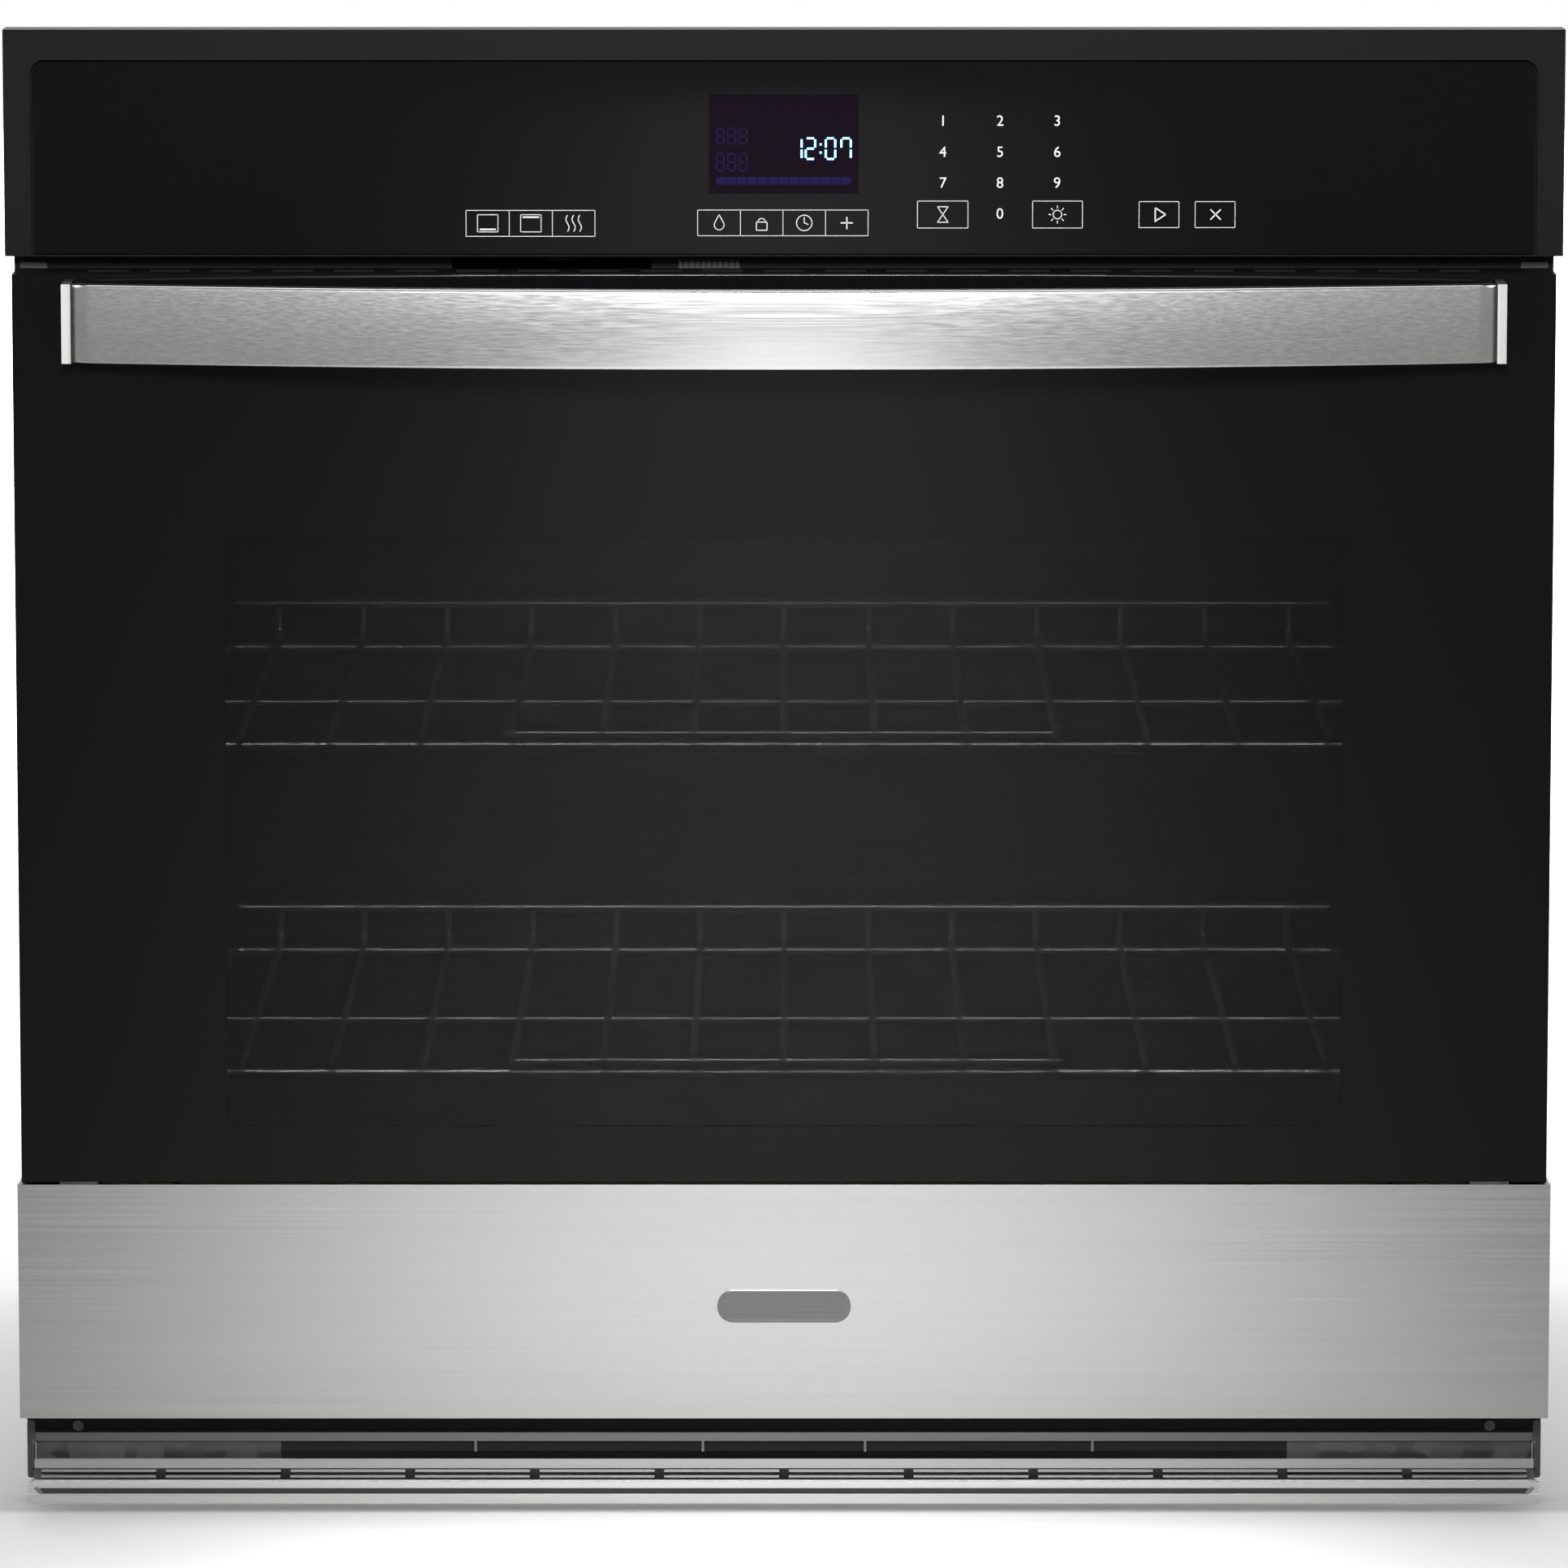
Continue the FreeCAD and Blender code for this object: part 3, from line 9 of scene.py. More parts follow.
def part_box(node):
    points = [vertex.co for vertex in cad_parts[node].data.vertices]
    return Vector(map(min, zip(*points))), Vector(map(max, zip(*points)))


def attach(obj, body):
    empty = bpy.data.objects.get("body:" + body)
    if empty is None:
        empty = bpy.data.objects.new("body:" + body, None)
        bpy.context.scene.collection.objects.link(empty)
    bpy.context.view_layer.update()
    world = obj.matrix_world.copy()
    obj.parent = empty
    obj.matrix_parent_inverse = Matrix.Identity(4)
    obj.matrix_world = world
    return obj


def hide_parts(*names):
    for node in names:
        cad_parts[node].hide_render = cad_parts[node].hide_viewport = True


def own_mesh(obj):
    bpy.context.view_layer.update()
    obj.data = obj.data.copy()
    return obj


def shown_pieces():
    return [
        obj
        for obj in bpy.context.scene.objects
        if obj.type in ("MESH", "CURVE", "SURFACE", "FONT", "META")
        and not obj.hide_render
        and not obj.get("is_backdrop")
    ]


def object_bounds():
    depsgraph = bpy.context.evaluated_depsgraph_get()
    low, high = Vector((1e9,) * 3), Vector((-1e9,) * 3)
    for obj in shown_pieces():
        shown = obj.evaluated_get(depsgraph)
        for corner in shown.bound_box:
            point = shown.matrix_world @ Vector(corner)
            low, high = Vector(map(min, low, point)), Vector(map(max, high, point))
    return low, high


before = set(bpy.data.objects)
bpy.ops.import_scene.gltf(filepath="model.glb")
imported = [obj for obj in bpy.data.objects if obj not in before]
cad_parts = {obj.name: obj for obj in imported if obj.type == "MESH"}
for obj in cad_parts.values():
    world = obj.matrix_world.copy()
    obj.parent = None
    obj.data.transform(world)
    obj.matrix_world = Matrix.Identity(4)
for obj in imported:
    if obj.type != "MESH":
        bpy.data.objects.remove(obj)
cad_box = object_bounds()

MM = 0.001


# Materials

class Shader:
    """A Principled material and short ways to feed it from patterns laid out in the part's own metres."""

    def __init__(self, name, color, metallic=0.0, roughness=0.5, **sockets):
        self.material = bpy.data.materials.new(name)
        self.material.use_nodes = True
        self.tree = self.material.node_tree
        self.bsdf = self.tree.nodes["Principled BSDF"]
        self.bsdf.inputs["Base Color"].default_value = (*color, 1)
        self.bsdf.inputs["Metallic"].default_value = metallic
        self.bsdf.inputs["Roughness"].default_value = roughness
        for socket, value in sockets.items():
            self.bsdf.inputs[socket.replace("_", " ")].default_value = value

    def new(self, kind, **settings):
        """A node with its sockets or properties set by name."""
        node = self.tree.nodes.new(kind)
        for key, value in settings.items():
            if key in node.inputs:
                node.inputs[key].default_value = value
            else:
                setattr(node, key, value)
        return node

    def link(self, source, target):
        self.tree.links.new(source, target)

    def place(self, scale=(1, 1, 1)):
        """The part's own coordinates, stretched."""
        where = self.new("ShaderNodeTexCoord")
        stretch = self.new("ShaderNodeMapping")
        stretch.inputs["Scale"].default_value = scale
        self.link(where.outputs["Object"], stretch.inputs["Vector"])
        return stretch.outputs["Vector"]

    def noise(self, scale, detail=3.0, roughness=0.6):
        """Cloudy noise, finer along an axis where the scale is larger."""
        pattern = self.new("ShaderNodeTexNoise")
        pattern.inputs["Scale"].default_value = 1.0
        pattern.inputs["Detail"].default_value = detail
        pattern.inputs["Roughness"].default_value = roughness
        self.link(self.place(scale), pattern.inputs["Vector"])
        return pattern.outputs["Fac"]

    def spread(self, factor, low, high):
        """A pattern's middle range spread over two values."""
        span = self.new("ShaderNodeMapRange")
        span.inputs["From Min"].default_value = 0.3
        span.inputs["From Max"].default_value = 0.7
        span.inputs["To Min"].default_value = low
        span.inputs["To Max"].default_value = high
        self.link(factor, span.inputs["Value"])
        return span.outputs["Result"]

    def vary_roughness(self, factor, low, high):
        self.link(self.spread(factor, low, high), self.bsdf.inputs["Roughness"])
        return self

    def vary_color(self, factor, dark, light, start=0.3, end=0.7):
        """The base colour ramped between two colours as a pattern goes from start to end."""
        ramp = self.new("ShaderNodeValToRGB")
        for element, position, color in zip(ramp.color_ramp.elements, (start, end), (dark, light)):
            element.position = position
            element.color = (*color, 1)
        self.link(factor, ramp.inputs["Fac"])
        self.link(ramp.outputs["Color"], self.bsdf.inputs["Base Color"])
        return self

    def bump(self, factor, strength, distance):
        bump = self.new("ShaderNodeBump")
        bump.inputs["Strength"].default_value = strength
        bump.inputs["Distance"].default_value = distance
        self.link(factor, bump.inputs["Height"])
        self.link(bump.outputs["Normal"], self.bsdf.inputs["Normal"])
        return self


def brushed(name, shade, along="x", roughness=(0.24, 0.36), depth=0.00002):
    """Steel with fine scratches that run one way."""
    across_grain, along_grain = 1500, 5
    scale = [along_grain if axis == along else across_grain for axis in "xyz"]
    shader = Shader(name, (shade,) * 3, metallic=1.0)
    grain = shader.noise(scale, detail=4.0)
    shader.vary_color(grain, (shade * 0.9, shade * 0.9, shade * 0.885),
                      (shade, shade * 0.995, shade * 0.985))
    shader.vary_roughness(grain, *roughness)
    return shader.bump(grain, 0.25, depth).material


def galvanised(name, shade):
    """Zinc-coated sheet with its faint crystal pattern."""
    shader = Shader(name, (shade,) * 3, metallic=1.0)
    spangle = shader.new("ShaderNodeTexVoronoi", feature="F1")
    spangle.inputs["Scale"].default_value = 90.0
    shader.link(shader.place(), spangle.inputs["Vector"])
    gray = shader.new("ShaderNodeSeparateColor")
    shader.link(spangle.outputs["Color"], gray.inputs["Color"])
    shader.vary_color(gray.outputs["Red"], (shade * 0.86, shade * 0.87, shade * 0.88),
                      (shade, shade, shade * 1.01))
    shader.vary_roughness(gray.outputs["Green"], 0.34, 0.48)
    return shader.material


def painted(name, color, roughness=(0.3, 0.4), texture=2500, depth=0.00003, level=0.5):
    """Sprayed paint or moulded plastic with a fine orange-peel."""
    shader = Shader(name, color, Specular_IOR_Level=level)
    peel = shader.noise((texture,) * 3, detail=2.0)
    shader.vary_roughness(peel, *roughness)
    return shader.bump(peel, 0.3, depth).material


def enamel(name, color, fleck):
    """Porcelain enamel, glossy, with small pale flecks."""
    shader = Shader(name, color, Coat_Weight=0.5, Coat_Roughness=0.08)
    dots = shader.noise((900, 900, 900), detail=1.0)
    shader.vary_color(dots, color, fleck, 0.62, 0.68)
    shader.vary_roughness(shader.noise((40, 40, 40)), 0.16, 0.26)
    return shader.material


def gloss(name, color, roughness=(0.02, 0.05), level=0.5, alpha=1.0):
    """Glass or a lens, dark or clear, with the faintest wipe marks."""
    shader = Shader(name, color, Alpha=alpha, Specular_IOR_Level=level)
    shader.vary_roughness(shader.noise((9, 9, 14), detail=2.0), *roughness)
    return shader.material


def fibrous(name, dark, light, scale=220, depth=0.002):
    """Matted mineral fibre."""
    shader = Shader(name, light, roughness=0.95)
    fibre = shader.noise((scale, scale * 0.4, scale), detail=6.0, roughness=0.75)
    shader.vary_color(fibre, dark, light)
    return shader.bump(fibre, 0.8, depth).material


def woven(name, dark, light, pitch=0.0016):
    """Braided glass yarn."""
    shader = Shader(name, light, roughness=0.8)
    weave = shader.new("ShaderNodeTexWave", wave_type="BANDS", bands_direction="DIAGONAL")
    weave.inputs["Scale"].default_value = 0.1 / pitch
    weave.inputs["Distortion"].default_value = 1.5
    shader.link(shader.place(), weave.inputs["Vector"])
    shader.vary_color(weave.outputs["Fac"], dark, light)
    return shader.bump(weave.outputs["Fac"], 0.7, 0.0006).material


def glowing(name, color, strength):
    """A lit segment of a display."""
    shader = Shader(name, color, roughness=0.3)
    shader.bsdf.inputs["Emission Color"].default_value = (*color, 1)
    shader.bsdf.inputs["Emission Strength"].default_value = strength
    shader.vary_roughness(shader.noise((500, 500, 500)), 0.25, 0.35)
    return shader.material


# The finishes. The vent's trim steels are one stainless steel in several painted shades, lighter or darker to
# stand in for the light and shade that each one catches from the floor it faces.

FINE_GRAIN = 0.000004
PANEL_STEEL = brushed("panel_steel", 0.32, "x", (0.16, 0.24))
HANDLE_STEEL = brushed("handle_steel", 0.49, "x", (0.18, 0.26), 2 * FINE_GRAIN)
TRIM_STEEL = brushed("trim_steel", 0.14, "x", (0.33, 0.38), FINE_GRAIN)
LIP_STEEL = brushed("lip_steel", 0.235, "x", (0.33, 0.38), FINE_GRAIN)
PAINTED_SHADE_STEEL = brushed("shaded_steel", 0.05, "x", (0.33, 0.38), FINE_GRAIN)
GROOVE_SHADOW_STEEL = brushed("groove_steel", 0.045, "x", (0.33, 0.38), FINE_GRAIN)
SHADE_PAINTED_ZINC = galvanised("shaded_zinc", 0.05)
SATIN_STEEL = brushed("satin_steel", 0.33, "z", (0.3, 0.4), FINE_GRAIN)
SCREW_STEEL = brushed("screw_steel", 0.50, "x", (0.3, 0.4))
ZINC = galvanised("zinc_sheet", 0.47)
HINGE_STEEL = brushed("hinge_steel", 0.45, "z", (0.32, 0.46))
ALUMINIUM = brushed("wheel_aluminium", 0.72, "z", (0.3, 0.42))
HEATER = painted("heater_sheath", (0.045, 0.042, 0.04), (0.5, 0.65), 1800)
RACK_PLATING = brushed("rack_plating", 0.74, "y", (0.3, 0.38), FINE_GRAIN)
BLACK_PAINT = painted("black_paint", (0.005, 0.005, 0.0053), (0.28, 0.36), level=0.045)
DARK_SHEET_AND_SHADE = painted("dark_sheet", (0.004, 0.004, 0.004), (0.5, 0.6), level=0.1)
BLACK_PLASTIC = painted("black_plastic", (0.014, 0.014, 0.015), (0.42, 0.55), 1500)
GREY_PLASTIC = painted("grey_plastic", (0.035, 0.035, 0.035), (0.5, 0.6), 1500, level=0.15)
CAVITY_ENAMEL = enamel("cavity_enamel", (0.016, 0.018, 0.024), (0.16, 0.17, 0.20))
BLACK_GLASS = gloss("black_glass", (0.0025, 0.0025, 0.0028), level=0.085)
SMOKED_GLASS = gloss("smoked_glass", (0.0025, 0.0025, 0.0028), level=0.14, alpha=0.6)
CLEAR_GLASS = gloss("clear_glass", (0.02, 0.021, 0.021), level=0.3, alpha=0.12)
LAMP_GLASS = gloss("lamp_glass", (0.82, 0.84, 0.84), (0.1, 0.2), alpha=0.35)
WOOL = fibrous("mineral_wool", (0.52, 0.42, 0.2), (0.85, 0.76, 0.48))
ROPE = woven("glass_rope", (0.05, 0.05, 0.05), (0.22, 0.22, 0.22))
BOARD = painted("circuit_board", (0.01, 0.12, 0.05), (0.3, 0.45), 900)
BADGE = brushed("badge_metal", 0.10, "x", (0.25, 0.35))
PRINT = painted("print_ink", (0.42, 0.43, 0.44), (0.5, 0.6))
DIGITS = glowing("lit_digits", (0.18, 0.50, 1.0), 2.2)
GHOST = painted("unlit_segments", (0.006, 0.003, 0.030), (0.3, 0.4), level=0.03)
SCREEN = gloss("screen_tint", (0.0035, 0.0015, 0.0040), level=0.025)


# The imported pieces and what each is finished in

FINISHES = {
    ZINC: ["side_panels", "top_panel", "base_panel", "rear_panel", "upper_deck", "bake_element_tray",
           "lamp_housing", "vent_tube", "cooling_duct", "blower_housing", "junction_box", "hinge_channels"],
    # The vent's side plates: zinc sheet darkened as painted shade.
    SHADE_PAINTED_ZINC: ["vent_side_plates"],
    BLACK_PAINT: ["control_frame", "door_top_trim", "door_side_trims"],
    # The front frame is black sheet; the base rails are zinc sheet given the same black as painted shade.
    DARK_SHEET_AND_SHADE: ["front_frame", "base_rails"],
    GREY_PLASTIC: ["outlet_comb"],
    CAVITY_ENAMEL: ["oven_liner", "rack_ledges", "door_inner_panel"],
    ROPE: ["door_gasket"],
    HEATER: ["broil_element", "bake_element"],
    HINGE_STEEL: ["temperature_sensor", "hinge_receivers", "hinge_arms", "latch_hook", "hinge_pins",
                  "hinge_rods", "hinge_springs"],
    LAMP_GLASS: ["lamp_bulb", "lamp_lens"],
    BLACK_PLASTIC: ["blower_motor", "thermal_cutout", "latch_motor", "light_switch_housing",
                    "display_module", "light_switch_plunger"],
    BOARD: ["relay_board", "touch_board"],
    BLACK_GLASS: ["control_glass"],
    # The louvre's steel is a painted shaded copy, and the lower trim's a painted lit copy, of the same
    # stainless steel.
    TRIM_STEEL: ["vent_louvre_panel"],
    LIP_STEEL: ["vent_lower_trim"],
    # The vent's top strip, its brackets and the frame screws: steel darkened as painted shade.
    PAINTED_SHADE_STEEL: ["vent_top_strip", "vent_side_brackets", "frame_screws"],
    ALUMINIUM: ["blower_wheel"],
    RACK_PLATING: ["rack_upper", "rack_lower"],
    CLEAR_GLASS: ["door_middle_glass", "door_inner_glass"],
    PANEL_STEEL: ["door_lower_panel"],
}

# Edges softened on the pieces whose corners show, in metres
SOFT_EDGES = {
    "control_frame": 0.0008, "control_glass": 0.0005, "door_lower_panel": 0.0009, "door_top_trim": 0.0004,
    "door_side_trims": 0.0005, "vent_top_strip": 0.0005, "vent_lower_trim": 0.0005,
    "vent_louvre_panel": 0.0002, "vent_side_brackets": 0.0003, "side_panels": 0.0003, "top_panel": 0.0003,
    "rear_panel": 0.0003, "base_rails": 0.0008, "outlet_comb": 0.0002, "front_frame": 0.0003,
}


def soften(thing, width, segments=3):
    """A narrow rounding on the sharp edges of a piece."""
    bevel = thing.modifiers.new("soft_edges", "BEVEL")
    bevel.width = width
    bevel.segments = segments
    bevel.limit_method = "ANGLE"
    bevel.angle_limit = math.radians(40)
    bevel.harden_normals = False
    return thing


def finish_node(name, material):
    """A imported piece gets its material, and soft edges if it is in the table."""
    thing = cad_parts[name]
    thing.data.materials.clear()
    thing.data.materials.append(material)
    if name in SOFT_EDGES:
        soften(thing, SOFT_EDGES[name])


for material, names in FINISHES.items():
    for name in names:
        finish_node(name, material)


# Making pieces

def add_piece(name, data, material, body, replaced=()):
    """Put a mesh or curve in the scene, riding on a body."""
    thing = bpy.data.objects.new(name, data)
    bpy.context.scene.collection.objects.link(thing)
    for each in material if isinstance(material, list) else [material]:
        data.materials.append(each)
    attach(thing, body)
    if replaced:
        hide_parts(*replaced)
    return thing


def mesh_from(name, build, smooth=True):
    """A mesh filled in by a function that takes a bmesh."""
    shape = bmesh.new()
    build(shape)
    bmesh.ops.recalc_face_normals(shape, faces=shape.faces)
    mesh = bpy.data.meshes.new(name)
    shape.to_mesh(mesh)
    shape.free()
    if smooth:
        mesh.shade_smooth()
    return mesh


def skin(shape, rings, capped=True):
    """Faces between closed rings of as many points each, and across the two ends."""
    for ring, ahead in zip(rings, rings[1:]):
        count = len(ring)
        for k in range(count):
            shape.faces.new((ring[k], ring[(k + 1) % count], ahead[(k + 1) % count], ahead[k]))
    if capped:
        shape.faces.new(rings[0])
        shape.faces.new(rings[-1])


def extrude_outline(shape, outline, front, back):
    """A flat piece with an outline of (x, z) points between two depths."""
    skin(shape, [[shape.verts.new((x, depth, z)) for x, z in outline] for depth in (front, back)])


def circle_points(radius, start=0, end=360, steps=24):
    """Points along an arc about the origin, both ends included."""
    turns = [math.radians(start + (end - start) * k / steps) for k in range(steps + 1)]
    return [(radius * math.cos(turn), radius * math.sin(turn)) for turn in turns]


def rounded_outline(low, high, radius, steps=6):
    """A rectangle with round corners, as (x, z) points."""
    corners = ((high[0] - radius, high[1] - radius, 0), (low[0] + radius, high[1] - radius, 90),
               (low[0] + radius, low[1] + radius, 180), (high[0] - radius, low[1] + radius, 270))
    return [(x + across, z + up) for x, z, start in corners
            for across, up in circle_points(radius, start, start + 90, steps)]


def tube_set(name, routes, radius, material, body, replaced=(), closed=False, sides=4):
    """Round wires of one thickness along routes of points."""
    curve = bpy.data.curves.new(name, "CURVE")
    curve.dimensions = "3D"
    curve.bevel_depth = radius
    curve.bevel_resolution = sides
    curve.use_fill_caps = True
    for route in routes:
        spline = curve.splines.new("POLY")
        spline.points.add(len(route) - 1)
        for point, where in zip(spline.points, route):
            point.co = (*where, 1)
        spline.use_cyclic_u = closed
        spline.use_smooth = True
    return add_piece(name, curve, material, body, replaced)


# Handle, glass and badge of the door

def make_handle():
    """A flat bar bowed along an arc, with rounder corners in front than behind."""
    low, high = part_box("door_handle")
    bow, thickness, corner, back_corner, sections = 1.803, 0.009, 0.0018, 0.001, 72
    centre = low.y + bow
    profile = []
    for radius, depth, z, start in (
            (corner, corner, high.z - corner, 90), (corner, corner, low.z + corner, 180),
            (back_corner, thickness - back_corner, low.z + back_corner, 270),
            (back_corner, thickness - back_corner, high.z - back_corner, 0)):
        profile += [(depth + inward, z + up) for inward, up in circle_points(radius, start, start + 90, 6)]

    def build(shape):
        rings = []
        for k in range(sections + 1):
            turn = math.asin((low.x + (high.x - low.x) * k / sections) / bow)
            rings.append([shape.verts.new(((bow - depth) * math.sin(turn),
                                           centre - (bow - depth) * math.cos(turn), z))
                          for depth, z in profile])
        skin(shape, rings)

    add_piece("handle_bar", mesh_from("handle_bar", build), HANDLE_STEEL, "door", ["door_handle"])
    finish_node("handle_end_posts", SATIN_STEEL)
    soften(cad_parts["handle_end_posts"], 0.0004)


def make_door_glass():
    """The outer pane, black all round and smoked in the window."""
    low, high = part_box("door_outer_glass")
    window_half, window_low, window_high = 0.274, 0.173, 0.465
    across = (low.x, -window_half, window_half, high.x)
    up = (low.z, window_low, window_high, high.z)

    def build(shape):
        grids = []
        for depth in (low.y, high.y):
            grids.append([[shape.verts.new((x, depth, z)) for x in across] for z in up])
        for grid in grids:
            for row in range(3):
                for column in range(3):
                    face = shape.faces.new((grid[row][column], grid[row][column + 1],
                                            grid[row + 1][column + 1], grid[row + 1][column]))
                    face.material_index = 1 if (row, column) == (1, 1) else 0
        front, back = grids
        for k in range(3):
            shape.faces.new((front[0][k], front[0][k + 1], back[0][k + 1], back[0][k]))
            shape.faces.new((front[3][k], front[3][k + 1], back[3][k + 1], back[3][k]))
            shape.faces.new((front[k][0], front[k + 1][0], back[k + 1][0], back[k][0]))
            shape.faces.new((front[k][3], front[k + 1][3], back[k + 1][3], back[k][3]))

    pane = add_piece("door_glass", mesh_from("door_glass", build, smooth=False),
                     [BLACK_GLASS, SMOKED_GLASS], "door", ["door_outer_glass"])
    soften(pane, 0.0006)


def make_badge():
    """A plain blank plate with a raised rim."""
    low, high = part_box("name_badge")
    rim, face, steps = 0.0012, low.y + 0.0003, 14
    half = (high.z - low.z) / 2
    outer = rounded_outline((low.x, low.z), (high.x, high.z), half, steps)
    inner = rounded_outline((low.x + rim, low.z + rim), (high.x - rim, high.z - rim), half - rim, steps)

    def build(shape):
        extrude_outline(shape, outer, face, high.y)
        rings = [[shape.verts.new((x, y, z)) for x, z in line]
                 for line, y in ((outer, face), (outer, low.y), (inner, low.y), (inner, face))]
        skin(shape, rings, capped=False)

    add_piece("blank_badge", mesh_from("blank_badge", build, smooth=False), BADGE, "door", ["name_badge"])


# Racks, elements and gasket

def make_rack(name):
    """Wires on a frame of thicker rod, with a raised nose in the middle and a rail stood up at the back."""
    low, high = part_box(name)
    thin, wire, frame_rod, back_rod = 0.0015, 0.00185, 0.0029, 0.0024
    wires_each_side, pitch, middle_rail = 6, 0.0454, 0.208
    nose_half, nose_rise, back_half, back_rise, bend = 0.138, 0.006, 0.295, 0.019, 0.006
    level = high.z - back_rod - back_rise
    front, back = low.y + 0.0004, high.y - frame_rod
    half = high.x - frame_rod
    wires = []
    for k in range(-wires_each_side, wires_each_side + 1):
        x = k * pitch
        if abs(x) < nose_half:
            start = [(x, front, level + nose_rise), (x, front + 0.022, level + 0.0016),
                     (x, front + 0.027, level + 0.0006), (x, front + 0.034, level)]
        else:
            start = [(x, front, level), (x, front + 0.02, level)]
        rise = [(x, back - bend + inward, level + bend + up)
                for inward, up in circle_points(bend, -90, 0, 6)]
        wires.append(start + rise + [(x, back, level + back_rise)])
    tube_set(name + "_wires", wires, wire, RACK_PLATING, name, [name])
    near, corner, rail_level = front + 0.005, 0.008, level - wire - frame_rod
    loop = []
    for x, y in rounded_outline((-half, near), (half, back), corner):
        loop.append((x, y, rail_level))
    tube_set(name + "_frame", [loop], frame_rod, RACK_PLATING, name, (), closed=True)
    rails = [[(side * half, middle_rail, level - wire - thin) for side in (-1, 1)],
             [(side * nose_half, front + 0.004, level + 0.002) for side in (-1, 1)]]
    tube_set(name + "_cross_rails", rails, thin, RACK_PLATING, name, ())
    top = [[(side * back_half, back, level + back_rise) for side in (-1, 1)]]
    tube_set(name + "_back_rail", top, back_rod, RACK_PLATING, name, ())


def make_element(name, runs, pitch, radius, level, front, back):
    """A sheathed element bent into parallel runs."""
    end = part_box(name)[1].y
    route = [((0 - (runs - 1) / 2) * pitch, end, level)]
    for k in range(runs - 1):
        x = (k + 0.5 - (runs - 1) / 2) * pitch
        at_front = k % 2 == 0
        y = front if at_front else back
        for step in range(13):
            turn = math.pi * step / 12
            side = -1 if at_front else 1
            route.append((x - pitch / 2 * math.cos(turn), y + side * pitch / 2 * math.sin(turn), level))
    route.append(((runs - 1) / 2 * pitch, end, level))
    tube_set(name + "_tube", [route], radius, HEATER, "chassis", [name], sides=6)


def make_springs():
    """The coil springs of the hinges."""
    low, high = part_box("hinge_springs")
    wire, coil_radius, turns, steps, sides = 0.0012, 0.0054, 14, 24, 8
    bottom, top = low.z + wire, high.z - wire
    middle = (low.y + high.y) / 2

    def build(shape):
        for side in (-1, 1):
            across = side * (high.x - coil_radius - wire)
            rings = []
            for k in range(turns * steps + 1):
                turn = 2 * math.pi * k / steps
                outward = Vector((math.cos(turn), math.sin(turn), 0))
                level = bottom + (top - bottom) * k / (turns * steps)
                centre = Vector((across, middle, level)) + outward * coil_radius
                rings.append([shape.verts.new(centre + outward * out + Vector((0, 0, rise)))
                              for out, rise in circle_points(wire, steps=sides)[:-1]])
            skin(shape, rings)

    coils = add_piece("hinge_coils", mesh_from("hinge_coils", build), HINGE_STEEL, "door",
                      ["hinge_springs"])
    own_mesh(coils)


def make_gasket():
    """A braided seal round the oven's mouth."""
    low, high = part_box("door_gasket")
    inset, corner, rope = 0.0043, 0.021, 0.0042
    outline = rounded_outline((low.x + inset, low.z + inset), (high.x - inset, high.z - inset), corner, 8)
    middle = (low.y + high.y) / 2
    tube_set("gasket_rope", [[(x, middle, z) for x, z in outline]], rope, ROPE, "chassis",
             ["door_gasket"], closed=True, sides=6)


def add_mat(shape, low, high, pitch=0.012):
    """A slab of mineral wool with a lumpy skin, kept inside its corners."""
    joined = 0.00001
    counts = [max(2, round((high[k] - low[k]) / pitch)) for k in range(3)]
    skin = []
    for flat in range(3):
        first, second = [k for k in range(3) if k != flat]
        for level in (low[flat], high[flat]):
            grid = []
            for i in range(counts[first] + 1):
                row = []
                for j in range(counts[second] + 1):
                    where = Vector((0, 0, 0))
                    where[flat] = level
                    where[first] = low[first] + (high[first] - low[first]) * i / counts[first]
                    where[second] = low[second] + (high[second] - low[second]) * j / counts[second]
                    row.append(shape.verts.new(where))
                grid.append(row)
                skin += row
            for i in range(counts[first]):
                for j in range(counts[second]):
                    shape.faces.new((grid[i][j], grid[i + 1][j], grid[i + 1][j + 1], grid[i][j + 1]))
    middle = [(a + b) / 2 for a, b in zip(low, high)]
    half = [(b - a) / 2 for a, b in zip(low, high)]
    bmesh.ops.remove_doubles(shape, verts=skin, dist=joined)
    for vertex in shape.verts:
        if all(low[k] - joined < vertex.co[k] < high[k] + joined for k in range(3)):
            lump = noise.noise(vertex.co * 28) + 0.5 * noise.noise(vertex.co * 95)
            inset = 0.0012 + 0.0009 * lump
            for k in range(3):
                share = (vertex.co[k] - middle[k]) / half[k]
                if abs(share) > 0.999:
                    vertex.co[k] -= math.copysign(inset, share)


